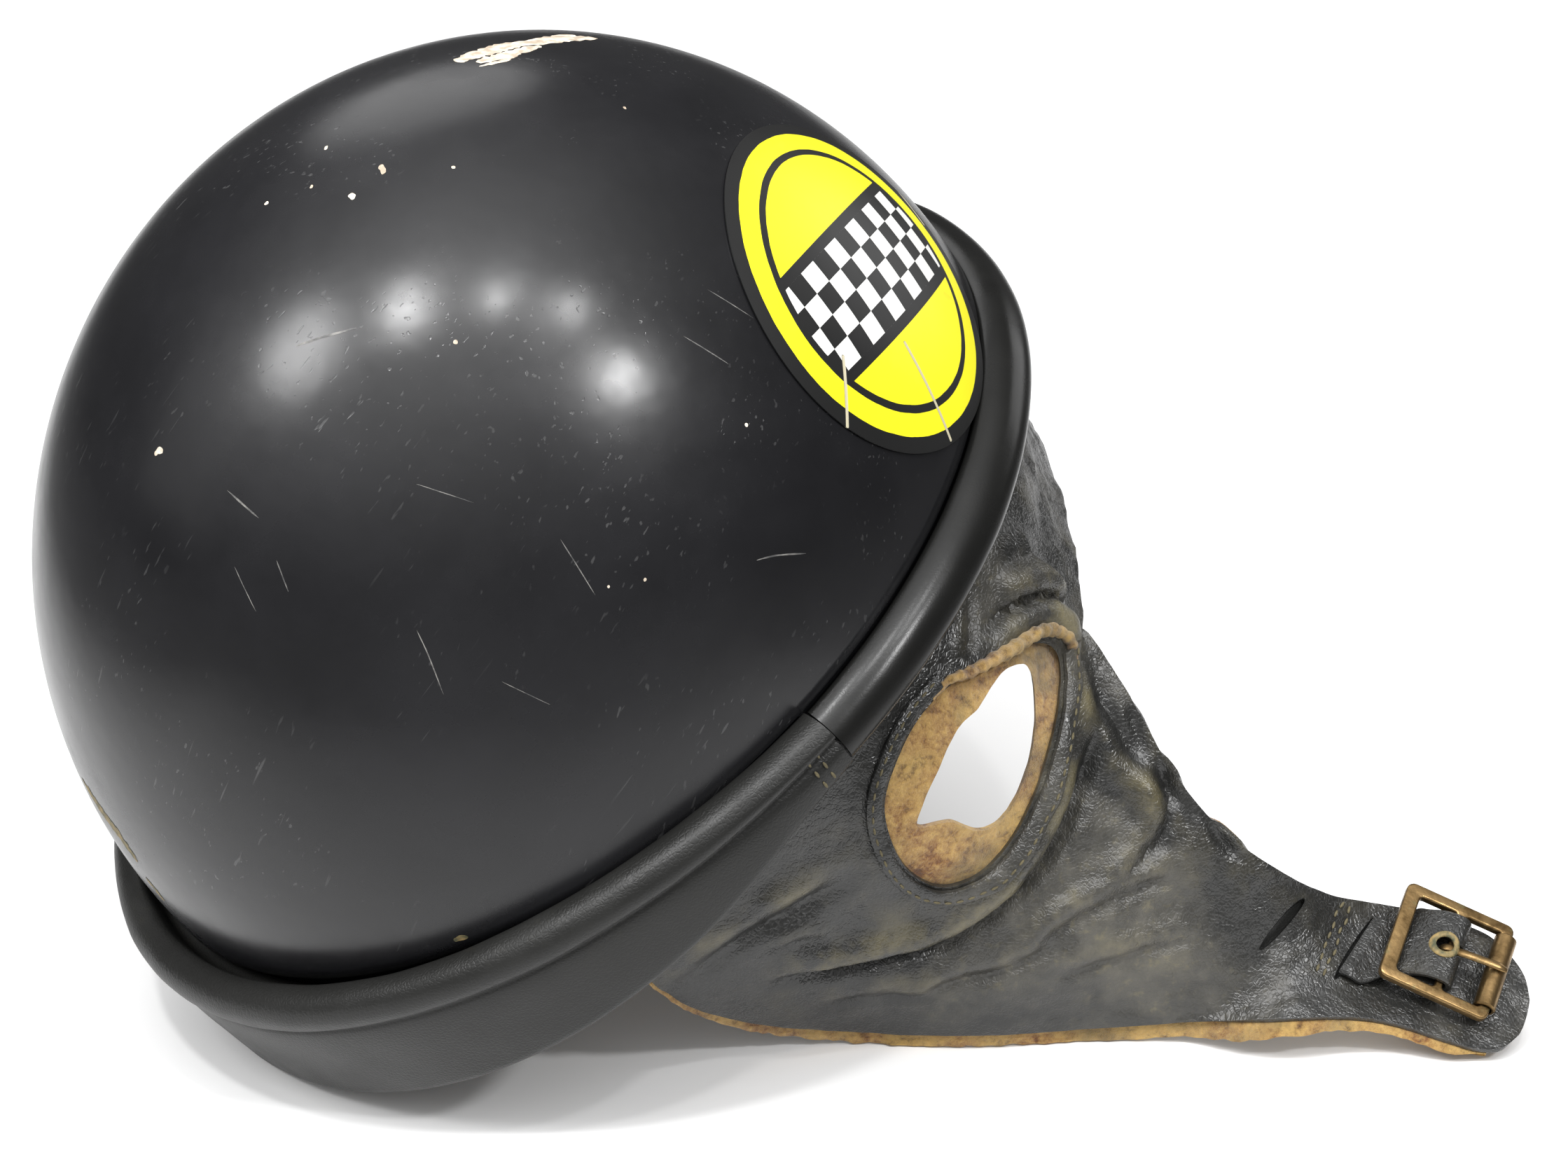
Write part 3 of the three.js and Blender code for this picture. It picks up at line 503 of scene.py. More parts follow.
def hide(name, dark, dusty, grain_depth, depth, gloss, dust_low=0.44, dust_high=0.68, rub=0.6, shine_level=0.3):
    """Black leather: soft grain, dust lying on it and lighter, rubbed high places."""
    material, tree, surface, vector = blank_material(name)
    grain = placed(tree, grain_group(), Vector=vector, Scale=900.0)
    dust = placed(tree, cloud_group(), Vector=vector, Scale=17.0, Low=dust_low, High=dust_high)["Mask"]
    smear = placed(tree, cloud_group(), Vector=vector, Scale=75.0, Low=0.4, High=0.7)["Mask"]
    flecks = placed(tree, cloud_group(), Vector=vector, Scale=420.0, Low=0.55, High=0.75)["Mask"]
    worn = wire(tree, "ShaderNodeAttribute", {"attribute_name": "worn"}).outputs["Fac"]
    cover = maths(tree, "MULTIPLY", dust, ranged(tree, smear, 0.0, 1.0, 0.35, 1.0))
    body = mixed(tree, cover, dark, dusty)
    pale = tuple(c * k for c, k in zip(dusty, (2.2, 2.0, 1.2))) + (1,)
    body = mixed(tree, maths(tree, "MULTIPLY", maths(tree, "MULTIPLY", flecks, cover), 0.5), body, pale)
    body = mixed(tree, maths(tree, "MULTIPLY", maths(tree, "MULTIPLY", worn, smear), rub), body, pale)
    plug(tree, surface.inputs["Base Color"], body)
    shine = ranged(tree, cover, 0.0, 1.0, gloss, min(1.0, gloss + 0.28))
    plug(tree, surface.inputs["Roughness"], maths(tree, "ADD", shine, maths(tree, "MULTIPLY", smear, 0.06), clamp=True))
    surface.inputs["Specular IOR Level"].default_value = shine_level
    broad = speckle(tree, vector, 85.0, 3.5, 0.5)
    height = maths(tree, "ADD", maths(tree, "MULTIPLY", grain["Height"], grain_depth), broad)
    relief_of(tree, surface, height, depth)
    return material


def flap_leather(colours):
    base = tuple(colours.leather)
    return hide("flap leather", base + (1,), tuple(c * k for c, k in zip(base, (6.0, 5.6, 4.9))) + (1,), 0.05, 0.0019, 0.27, 0.5, 0.66, 0.6, 0.55)


def peak_leather(colours):
    base = tuple(c * 0.8 for c in colours.leather)
    return hide("peak leather", base + (1,), tuple(c * 1.7 for c in base) + (1,), 0.3, 0.00016, 0.36, 0.5, 0.8, 0.5)


def trim_leather(colours):
    base = tuple(c * 0.45 for c in colours.leather)
    return hide("trim leather", base + (1,), tuple(c * 1.6 for c in base) + (1,), 0.1, 0.00006, 0.24, 0.5, 0.85, 0.3)


def suede_hide(colours, name="suede nap", deep=(126, 76, 28)):
    material, tree, surface, vector = blank_material(name)
    nap = speckle(tree, vector, 300.0, 8.0, 0.75)
    stain = placed(tree, cloud_group(), Vector=vector, Scale=60.0, Low=0.4, High=0.62)["Mask"]
    grime = placed(tree, cloud_group(), Vector=vector, Scale=34.0, Low=0.52, High=0.68)["Mask"]
    body = mixed(tree, stain, tuple(colours.suede) + (1,), tint(*deep))
    body = mixed(tree, ranged(tree, nap, 0.42, 0.66), body, tint(206, 168, 98))
    body = mixed(tree, ranged(tree, nap, 0.46, 0.3), body, tint(84, 54, 22))
    body = mixed(tree, maths(tree, "MULTIPLY", grime, 0.75), body, tint(86, 78, 54))
    plug(tree, surface.inputs["Base Color"], body)
    surface.inputs["Roughness"].default_value = 0.95
    surface.inputs["Specular IOR Level"].default_value = 0.2
    surface.inputs["Sheen Weight"].default_value = 0.35
    surface.inputs["Sheen Roughness"].default_value = 0.5
    relief_of(tree, surface, nap, 0.0016)
    return material


def aged_brass(colours):
    material, tree, surface, vector = blank_material("aged brass")
    tarnish = placed(tree, cloud_group(), Vector=vector, Scale=160.0, Low=0.42, High=0.66)["Mask"]
    crust = placed(tree, cloud_group(), Vector=vector, Scale=260.0, Low=0.6, High=0.72)["Mask"]
    body = mixed(tree, tarnish, tuple(colours.brass) + (1,), tint(84, 66, 40))
    body = mixed(tree, maths(tree, "MULTIPLY", crust, 0.5), body, tint(92, 100, 62))
    plug(tree, surface.inputs["Base Color"], body)
    plug(tree, surface.inputs["Metallic"], ranged(tree, crust, 0.0, 1.0, 0.95, 0.4))
    plug(tree, surface.inputs["Roughness"], ranged(tree, tarnish, 0.0, 1.0, 0.3, 0.5))
    relief_of(tree, surface, speckle(tree, vector, 500.0, 4.0), 0.00012)
    return material


def sewing_thread(colours):
    material, tree, surface, vector = blank_material("thread")
    twist = speckle(tree, vector, 900.0, 2.0)
    plug(tree, surface.inputs["Base Color"], mixed(tree, twist, tuple(colours.thread) + (1,), tint(60, 54, 38)))
    surface.inputs["Roughness"].default_value = 0.8
    relief_of(tree, surface, twist, 0.0002)
    return material


def scuff_material(name, low, high, rough):
    material, tree, surface, vector = blank_material(name)
    film = placed(tree, cloud_group(), Vector=vector, Scale=330.0, Low=0.4, High=0.62)["Mask"]
    plug(tree, surface.inputs["Base Color"], mixed(tree, film, low, high))
    surface.inputs["Roughness"].default_value = rough
    relief_of(tree, surface, speckle(tree, vector, 600.0, 4.0), 0.0002)
    return material


def materials(context):
    """Every material, made once and kept by name."""
    colours = context.scene.helmet_colours
    makers = {
        "shell paint": shell_paint,
        "decal print": decal_print,
        "flap leather": flap_leather,
        "peak leather": peak_leather,
        "trim leather": trim_leather,
        "suede nap": suede_hide,
        "raw edge": lambda c: suede_hide(c, "raw edge", (96, 56, 22)),
        "aged brass": aged_brass,
        "thread": sewing_thread,
        "bare patch": lambda c: scuff_material("bare patch", tint(176, 160, 140), tint(232, 222, 206), 0.7),
        "pale scratch": lambda c: scuff_material("pale scratch", tint(66, 66, 66), tint(126, 124, 120), 0.5),
        "chipped edge": lambda c: scuff_material("chipped edge", tint(70, 72, 50), tint(150, 128, 82), 0.7),
    }
    return {name: bpy.data.materials.get(name) or make(colours) for name, make in makers.items()}


# Dome and decal
def dome_profile():
    """Closed half section of the shell as radius and height, from the outer apex round the rim."""
    wall = SHELL["wall"]
    foot = SHELL["half_width"] * RIM_SCALE
    outer = [
        (SHELL["half_width"] * math.sin(a), SHELL["skirt_top"] + SHELL["dome"] * math.cos(a))
        for a in np.radians(np.linspace(0, 90, 72))
    ]
    lip = [
        (foot, 0.4), (foot, -5.2), (foot - 0.5, -5.9), (foot - 1.5, SHELL["skirt_foot"]),
        (foot - wall + 0.5, -5.9), (foot - wall, -5.2), (foot - wall, 0),
    ]
    inner = [
        ((SHELL["half_width"] - wall) * math.sin(a), SHELL["skirt_top"] + (SHELL["dome"] - wall) * math.cos(a))
        for a in np.radians(np.linspace(90, 0, 30))
    ]
    return np.array(outer + lip + inner)


def make_dome(context):
    stuff = materials(context)
    profile = dome_profile()
    steps = 208
    angle = np.radians(np.arange(steps) * 360 / steps)[None, :]
    radius = profile[:, :1]
    stretch = SHELL["half_length"] / SHELL["half_width"]
    height = np.broadcast_to(profile[:, 1:2], (len(profile), steps))
    points = np.stack((-stretch * radius * np.cos(angle), -radius * np.sin(angle), height), -1)
    faces = [face for face in tube_faces(len(profile), steps) if len(face) == 4]
    dome = tidy_solid(piece("dome", standing(points), faces, stuff["shell paint"]), 50)
    dress(dome, "shell", "shell")


DECAL = {"angle": 136.5, "rise": 18.5, "around": 48, "up": 49.2, "turn": 14.6, "top": 0.7, "thick": 0.4}


def on_shell(points, out):
    """Points dropped on the dome of the level helmet and lifted off it."""
    axes = np.array((SHELL["half_length"], SHELL["half_width"], SHELL["dome"]), float)
    base = np.array((0, 0, SHELL["skirt_top"]))
    seat = points - base
    seat = seat / np.linalg.norm(seat / axes, axis=-1, keepdims=True)
    normal = unit(seat / axes**2)
    return seat + base + normal * out


def make_decal(context):
    stuff = materials(context)
    a, e = math.radians(DECAL["angle"]), math.radians(DECAL["rise"])
    middle = np.array((
        -math.cos(a) * math.cos(e) * SHELL["half_length"],
        -math.sin(a) * math.cos(e) * SHELL["half_width"],
        math.sin(e) * SHELL["dome"] + SHELL["skirt_top"],
    ))
    normal = unit(on_shell(middle, 1) - on_shell(middle, 0))
    along = unit(np.cross((0, 0, 1), normal))
    upwards = np.cross(normal, along)
    rings, sides = 22, 144
    size = np.linspace(1, 1 / rings, rings)[:, None]
    turn = np.radians(np.arange(sides) * 360 / sides)[None, :]
    flat = np.stack((size * np.cos(turn), size * np.sin(turn)), -1)
    bearing = turn + math.radians(DECAL["turn"])
    reach = along * (DECAL["around"] * size * np.cos(bearing))[..., None]
    reach = reach + upwards * (DECAL["up"] * size * np.sin(bearing))[..., None]
    points = on_shell(middle + reach, DECAL["top"]).reshape(-1, 3)
    points = np.vstack((points, on_shell(middle, DECAL["top"])))
    faces = [face for face in tube_faces(rings, sides) if len(face) == 4]
    hub, last = rings * sides, (rings - 1) * sides
    faces += [(last + j, last + (j + 1) % sides, hub) for j in range(sides)]
    decal = piece("decal_print", standing(points), faces, stuff["decal print"])
    uvs = decal.data.uv_layers.new(name="face")
    spot = np.vstack((flat.reshape(-1, 2), (0, 0)))
    corners = np.zeros(len(decal.data.loops), int)
    decal.data.loops.foreach_get("vertex_index", corners)
    uvs.data.foreach_set("uv", spot[corners].ravel())
    thicken(decal, DECAL["thick"])
    dress(decal, "decal", "decal")


# Wear on the dome: a path on the level helmet, half width and raggedness
BARE_PATCHES = (
    (((60, -4, 133), (66, -3, 130), (73, -2.4, 125), (81, -2, 119)), 3.0, 1.3),
    (((63, -8, 131), (70, -8, 126.5), (79, -6, 120)), 2.0, 1.2),
    (((76, -3, 122), (86, -1.5, 114.5), (94, -2, 107.5)), 3.2, 1.4),
    (((62, -10.5, 131), (68, -11, 128), (73, -9, 124.5)), 0.8, 0.6),
    (((86, 1, 115), (91, 2, 110.5)), 1.5, 0.8),
    (((23, -27.6, 141.4), (22.4, -28.8, 141.2), (21.2, -30.4, 141)), 0.75, 0.5),
    (((11.4, -30.6, 142.1), (12.8, -29, 142.4)), 0.7, 0.5),
    (((8, -19.3, 145.7), (9, -18.8, 145.7)), 0.5, 0.4),
    (((-1.6, -12.1, 147.2), (-0.4, -12, 147.2)), 0.55, 0.4),
    (((18.4, -11.6, 145.9), (19.8, -11, 145.8)), 0.45, 0.4),
    (((0.1, -68.3, 118.6), (0.7, -68.9, 118)), 0.5, 0.3),
    (((-62.6, -24.4, 127.7), (-61.4, -25.2, 128.2), (-61, -26.6, 128.2)), 0.7, 0.5),
    (((33.1, -39.3, 134.2), (33.8, -39.8, 133.8)), 0.45, 0.3),
    (((-8.3, -104.7, 59.1), (-8.2, -104.9, 58.4)), 0.4, 0.2),
    (((-15.6, -102.5, 63.8), (-15.6, -102.8, 63.2)), 0.4, 0.2),
    (((35.4, -99.3, 63.9), (36.2, -99, 63.6)), 0.5, 0.3),
    (((76.5, -39.6, 111.9), (77, -39.8, 111.4)), 0.4, 0.3),
)
PALE_SCRATCHES = (
    (((-24.1, -44.9, 133.6), (-19, -48.4, 132.6), (-12, -53.1, 130.4)), 0.3, 0.12),
    (((-53.3, -84.9, 81.8), (-55.6, -87.2, 76), (-59.4, -89.8, 67.1)), 0.14, 0.05),
    (((14.8, -109.3, 41.5), (19.4, -109.8, 38.4), (25.4, -109.8, 32.2)), 0.2, 0.15),
    (((-15.9, -96.3, 78.3), (-19.2, -102.1, 64.1)), 0.12, 0.05),
    (((-63, -60.1, 106.5), (-66.4, -63.7, 100.5)), 0.16, 0.1),
    (((-58.6, -45.8, 120.2), (-58.7, -54.3, 114.2)), 0.2, 0.1),
    (((39.9, -87.1, 86.2), (43.3, -92.3, 74.7)), 0.12, 0.05),
    (((-30, -78, 106), (-24, -86, 96)), 0.1, 0.05),
    (((-48, -96, 62), (-43, -99, 50)), 0.1, 0.05),
    (((52, -80, 85), (56, -86, 74)), 0.1, 0.05),
    (((60, -78, 80), (62, -82, 72)), 0.1, 0.05),
    (((-70, -52, 108), (-74, -58, 99)), 0.1, 0.05),
)
CHIPPED_EDGE = (
    (((-127, 14, 54), (-130, 6, 49), (-131, -1, 44), (-133, -4, 36)), 2.6, 1.6),
    (((-133.5, -3, 30), (-134.6, -5, 22)), 1.2, 0.8),
    (((-97, -81.6, 6.2), (-95.6, -82.9, 6.8), (-94, -83.8, 6)), 0.9, 0.6),
)


def patches(name, table, material, lift):
    """Thin ragged patches along paths on the dome, just proud of its paint."""
    points, faces = [], []
    for number, (path, half, ragged) in enumerate(table):
        line = curve_through(path, 10 if half > 0.3 else 5)
        line = on_shell(line, lift)
        along = unit(np.gradient(line, axis=0))
        side = unit(np.cross(along, on_shell(line, lift + 1) - line))
        place = np.linspace(0, 1, len(line))
        taper = np.sqrt(np.clip(1 - (2 * place - 1) ** 2, 0.02, 1)) * half
        edges = []
        for sign in (-1, -0.33, 0.33, 1):
            wander = np.array([noise.noise(Vector(p) * 0.9 + Vector((sign * 7, number, 0))) for p in line])
            edges.append(on_shell(line + side * (sign * taper + ragged * wander * abs(sign))[:, None], lift))
        start = len(points)
        points.extend(np.stack(edges, 1).reshape(-1, 3))
        faces += [[start + k for k in face] for face in sheet_faces(len(line), 4)]
    return dress(piece(name, standing(np.array(points)), faces, material), "shell")


def make_wear(context):
    stuff = materials(context)
    patches("shell_bare_patches", BARE_PATCHES, stuff["bare patch"], 0.05)
    patches("shell_scratches", PALE_SCRATCHES, stuff["pale scratch"], 0.03)
    patches("shell_chipped_edge", CHIPPED_EDGE, stuff["chipped edge"], 0.05)


# Peak and trim
PEAK = np.array((
    # angle, crevice, crest, reach, drop
    (0, 5.5, 5.5, 16, -37),
    (12, 5.5, 5.5, 15.6, -36.8),
    (25, 5, 5.2, 14.6, -36),
    (45, 3, 4.6, 12.8, -32.5),
    (60, 1.8, 4, 11.8, -28),
    (72, 1, 3.2, 11.4, -22),
    (82, 0.6, 2.4, 11.2, -15.5),
    (90, 0.4, 1.6, 11, -13),
), float)
PEAK_WALL = 3


def peak_sizes(angles):
    """The table's columns at each angle, eased so that no corner shows."""
    fine = np.arange(-120, 121)
    columns = []
    for k in range(1, 5):
        values = np.interp(np.abs(fine), PEAK[:, 0], PEAK[:, k])
        eased = np.convolve(np.pad(values, 6, "edge"), np.ones(13) / 13, "valid")
        columns.append(np.interp(angles, fine, eased))
    return np.stack(columns, -1)


def peak_section(angle, crevice, crest, reach, drop):
    groove = max(-4.5, drop + 8)
    foot = min(reach, 14 - abs(angle) / 30)
    section = rounded(
        [
            (GAP, -3.2), (crevice, -3), (crevice, crest - 2.4), (crevice + 1.2, crest + 0.5),
            (reach - 3, crest + 0.3), (reach + 0.5, crest - 3), (reach + 0.3, groove + 1.2), (reach - 2, groove),
            (reach - 0.3, groove - 2.4), (foot + 0.2, drop + 5), (foot, drop), (foot - PEAK_WALL, drop),
            (foot - PEAK_WALL - 0.4, drop + 2.5), (reach - PEAK_WALL - 0.8, -9.8),
            (-SHELL["wall"], -9.8), (-SHELL["wall"], SHELL["skirt_foot"] - GAP), (GAP, SHELL["skirt_foot"] - GAP),
        ],
        3,
    )
    return rim_point(angle, section[:, 0], section[:, 1])


def make_peak(context):
    stuff = materials(context)
    angles = np.linspace(-SEAM_ANGLE, SEAM_ANGLE, 181)
    rings = np.array([peak_section(angle, *sizes) for angle, sizes in zip(angles, peak_sizes(angles))])
    peak = loft("peak_leather", standing(rings), stuff["peak leather"], sharp=50)
    ripple(peak, 0.35, 28, 0.15, 90)
    dress(peak, "peak_leather", "peak")


TRIM_SECTION = (
    (GAP, -0.8), (1.9, 1.2), (3.6, 1.2), (7, -0.4), (9.9, -3.6), (11.3, -8), (10.9, -12), (8.2, -13.9),
    (3, -13.9), (-SHELL["wall"], -12), (-SHELL["wall"], SHELL["skirt_foot"] - GAP), (GAP, SHELL["skirt_foot"] - GAP),
)


def make_trim(context):
    stuff = materials(context)
    section = rounded(TRIM_SECTION, 3)
    angles = np.linspace(180 - SEAM_ANGLE, 180 + SEAM_ANGLE, 181)
    rings = np.array([rim_point(angle, section[:, 0], section[:, 1]) for angle in angles])
    trim = loft("back_trim_leather", standing(rings), stuff["trim leather"], sharp=50)
    ripple(trim, 0.3, 22, 0.1, 70)
    dress(trim, "trim", "back_trim")


def ripple(thing, broad, broad_scale, fine, fine_scale):
    """Slight unevenness of hand-stretched leather: two sizes of noise, in millimetres and per metre."""
    mesh = thing.data
    moved = []
    for vertex in mesh.vertices:
        low = noise.noise(vertex.co * broad_scale) * broad
        high = noise.noise(vertex.co * fine_scale) * fine
        moved.append(vertex.co + vertex.normal * (low + high) * MM)
    for vertex, co in zip(mesh.vertices, moved):
        vertex.co = co


# Ear flaps. Each section is its front edge, its middle and its rear edge
FLAP_TUCK = (8, -8)
FLAP = np.array((
    ((-38, -90, -62), (26, -108, -12), (80, -80, 34)),
    ((-22, -86, -85), (41, -112, -34), (90, -92, 14)),
    ((5, -83, -103), (54, -115, -55), (98, -103, -6)),
    ((32, -92, -111), (67, -120, -70), (102, -115, -20)),
    ((57, -112, -111), (80, -128, -78), (107, -126, -38)),
    ((84, -127, -111), (98, -136, -85), (115, -138, -54)),
    ((105, -144, -108), (116, -149, -91), (128, -147, -67)),
    ((119, -164, -102), (133, -159, -93), (147, -150, -80)),
    ((136, -173, -103), (150, -165, -96.5), (164, -155, -86.5)),
    ((146, -180, -105.5), (160.5, -173, -98.5), (174.5, -164, -89)),
    ((155, -189, -109), (169, -182, -102), (183, -173, -93)),
    ((161, -194, -111.3), (173.5, -188, -105), (185.7, -180, -97)),
    ((167, -197, -111.5), (176.5, -192.5, -107.5), (185.5, -186.5, -101)),
    ((174, -196.3, -110.5), (178.5, -194.3, -108.3), (182.7, -191.5, -105)),
), float)
FLAP_ROWS = len(FLAP) + len(FLAP_TUCK) - 1

# The flap's face, on which holes and folds are drawn: h runs back along it and z up
FACE_ALONG = np.array((0.87, -0.493, 0))
FACE_OUT = np.array((-0.493, -0.87, 0))
SWELLINGS = (
    # h, z, half size along h, half size along z, lean, height
    (101, -30, 40, 58, 0.25, 7),
    (122, 20, 26, 18, 0, 7),
)
# Folds: path on the face, depth and width of the valley, then height, offset and width of its ridge
FOLDS = (
    (((40, -87), (60, -86), (80, -84), (96, -80.8), (110, -72), (122, -60), (131, -45), (136.6, -29), (140, -18)), 3.2, 2.2, 2.6, 7, 4.5),
    (((138, -70), (145, -64.7), (153.2, -57), (155.8, -48), (154.8, -40), (151, -30)), 1.6, 1.6, 1.5, 4.5, 3.5),
    (((14, -92), (36, -72), (58, -60), (72, -52)), 2.0, 3.5, 1.6, 8, 5),
    (((104, 3), (108, 4.5), (114, 6.2), (121, 6.7), (129.4, 2.6), (134.4, -2.9), (136.4, -12)), 2.2, 0.9, 1.8, -4.2, 3.2),
    (((108, 16), (118, 17), (128, 14), (136, 7)), 1.4, 2.2, 1.6, -6, 4),
    (((101.5, 14), (102.6, 6.8), (101, -2)), 2.0, 1.2, 1.4, -3, 2.2),
    (((170, -44), (167, -54), (176, -65)), 1.3, 1.5, 1.2, 4, 3),
    (((118, -84), (132, -76), (146, -70), (160, -68)), 1.2, 1.8, 1.2, 5, 3.5),
    (((134, -8), (141, -26), (152, -42), (164, -53)), 1.0, 1.8, 1.2, -5, 3.5),
    (((124, -94), (146, -88), (166, -84)), 0.9, 1.6, 0.9, 4.5, 3.5),
    (((88, -96), (112, -90), (130, -80)), 1.1, 1.8, 1.0, 5, 3.5),
    (((146, -20), (150, -36), (160, -48)), 0.8, 1.4, 0.9, 4, 3),
    (((60, -100), (78, -97), (96, -99)), 0.8, 1.6, 0.7, 5, 3.5),
    (((44, -74), (56, -72), (66, -74)), 0.7, 1.4, 0.6, 4, 3),
)

def flap_row(row, u):
    """Point across one section: row and u are arrays of one shape."""
    row = np.clip(row, 0, FLAP_ROWS)
    share = np.stack(((1 - u) * (1 - 2 * u), 4 * u * (1 - u), u * (2 * u - 1)), -1)
    bent = (FLAP[np.maximum(row - 2, 0)] * share[..., None]).sum(-2)
    height = np.where(row == 0, FLAP_TUCK[0], FLAP_TUCK[1])
    tucked = standing(rim_point(FLAP_START + (FLAP_END - FLAP_START) * u, INSIDE, height))
    return np.where((row < 2)[..., None], tucked, bent)


def swelling(points):
    h, z = points @ FACE_ALONG, points[..., 2]
    total = np.zeros_like(h)
    for middle_h, middle_z, half_h, half_z, lean, height in SWELLINGS:
        dz = z - middle_z
        far = ((h - middle_h - lean * dz) / half_h) ** 2 + (dz / half_z) ** 2
        total += height * np.clip(1 - far, 0, None) ** 2
    return total


def flap_at(u, v):
    """The flap's outer face without its folds, as in the solids."""
    u, v = np.broadcast_arrays(np.asarray(u, float), np.asarray(v, float))
    row = np.clip(np.floor(v).astype(int), 0, FLAP_ROWS - 1)
    near = [flap_row(row + k, u) for k in (-1, 0, 1, 2)]
    base = through(*near, (v - row)[..., None])
    lift = swelling(base) * smoothstep(v, 1.2, 2.4)
    return base + FACE_OUT * lift[..., None]


def outward(surface, u, v, step=1e-3):
    du = surface(u + step, v) - surface(u - step, v)
    dv = surface(u, v + step) - surface(u, v - step)
    return unit(np.cross(dv, du))


def distance_to_path(h, z, path):
    """Signed distance to a path, positive on its left, and the share of its length at the foot."""
    path = curve_through(path, 4)
    lengths = np.linalg.norm(np.diff(path, axis=0), axis=1)
    total = lengths.sum()
    best = np.full(h.shape, 1e9)
    signed = np.zeros(h.shape)
    place = np.zeros(h.shape)
    for k, (start, length) in enumerate(zip(path[:-1], lengths)):
        along = (path[k + 1] - start) / length
        dh, dz = h - start[0], z - start[1]
        t = np.clip(dh * along[0] + dz * along[1], 0, length)
        away = np.hypot(dh - t * along[0], dz - t * along[1])
        side = np.sign(along[0] * dz - along[1] * dh)
        closer = away < best
        best = np.where(closer, away, best)
        signed = np.where(closer, side * away, signed)
        place = np.where(closer, (lengths[:k].sum() + t) / total, place)
    return signed, place


def folds(points):
    """Height of the folds over the plain face, in millimetres."""
    h, z = points @ FACE_ALONG, points[..., 2]
    total = np.zeros(h.shape)
    for path, depth, width, ridge, offset, spread in FOLDS:
        signed, place = distance_to_path(h, z, path)
        fade = smoothstep(place, 0, 0.22) * smoothstep(1 - place, 0, 0.22)
        valley = -depth * np.exp(-((signed / width) ** 2))
        crest = ridge * np.exp(-(((signed - offset) / spread) ** 2))
        total += fade * (valley + crest)
    return 1.4 * total


def wrinkles(points, amount=1.0):
    flat = points.reshape(-1, 3)
    values = [
        0.9 * noise.noise(Vector(p) * 0.045) + 0.7 * noise.noise(Vector(p) * 0.12) + 0.3 * noise.noise(Vector(p) * 0.33)
        for p in flat
    ]
    return amount * np.array(values).reshape(points.shape[:-1])


def flap_skin(u, v, ease=True):
    """Outer face of the flap with folds and wrinkles, its outward direction and the relief."""
    base = flap_at(u, v)
    normal = outward(flap_at, u, v)
    relief = folds(base) + wrinkles(base)
    calm = smoothstep(v, 1.6, 3.0) * (1 - 0.75 * smoothstep(v, 8.5, 10)) * (0.35 + 0.65 * smoothstep(u, 0, 0.12))
    relief = relief * calm
    return base + normal * relief[..., None], normal, relief


EAR_HOLE = (
    (77.5, -30), (79.5, -44), (86, -55), (95, -60), (105, -57), (114, -47),
    (121, -33), (127, -14), (124, -5), (113, -3), (98, -5), (85, -14),
)
SUEDE_HOLE = (
    (86, -39.5), (95, -41), (104, -46), (111, -43), (117, -32),
    (119.5, -18), (117.5, -8.5), (111, -7.5), (103, -13.5), (95, -20),
)
FACE_AXES = (FACE_ALONG, (0, 0, 1), FACE_OUT)
FACE_REACH = (28, 122)

# The tab: x towards its tip, y across it and z up off it, from the buckle's centre bar
BUCKLE_PLACE = np.array((166.7, -176, -92.5))
BUCKLE_TURN = np.array(Matrix.Rotation(math.radians(-49.7), 3, "Z") @ Matrix.Rotation(math.radians(20.4), 3, "Y") @ Matrix.Rotation(math.radians(28.7), 3, "X"))
TAB_AXES = tuple(BUCKLE_TURN.T)


def on_tab(points):
    return np.asarray(points, float) @ BUCKLE_TURN.T + BUCKLE_PLACE


def ragged_outline(table, amount, seed):
    outline = curve_through(table, 12, closed=True)
    turn = np.linspace(0, 2 * math.pi, len(outline), endpoint=False)
    wander = sum(np.sin(turn * k + seed * k) / k for k in (7, 13, 23, 31))
    middle = outline.mean(0)
    return outline + unit(outline - middle) * (wander * amount)[:, None]


def sheet_of(name, surface_points, *stuff):
    rows, columns = surface_points.shape[:2]
    return piece(name, surface_points, sheet_faces(rows, columns), *stuff)


def mark_worn(thing, relief):
    """Keeps how far each point stands out, for the leather's rubbed places."""
    worn = thing.data.attributes.new("worn", "FLOAT", "POINT")
    worn.data.foreach_set("value", np.clip(relief / 2.6, 0, 1).astype(np.float32).ravel())


# Slots through the tab's leather, on the tab's own axes: the strap comes out of the first
TAB_SLOTS = (
    {"from": (-25.5, -19.5), "to": (-20.5, 5), "wide": 2.6, "between": (-12, 1)},
    {"from": (-47, -22), "to": (-41.2, -5.4), "wide": 2.6, "between": (-9, 8)},
)


def lens(start, end, wide):
    """Outline of a slot pulled open into a lens, between two places on the tab."""
    t = np.linspace(0, 2 * math.pi, 28, endpoint=False)
    start, end = np.array(start, float), np.array(end, float)
    along = (end - start) / 2
    across = unit(np.array((-along[1], along[0]))) * wide / 2
    return (start + end) / 2 + np.cos(t)[:, None] * along + np.sin(t)[:, None] * across


def flap_rows():
    return np.concatenate((np.linspace(0, 6, 96, endpoint=False), np.linspace(6, FLAP_ROWS, 96)))


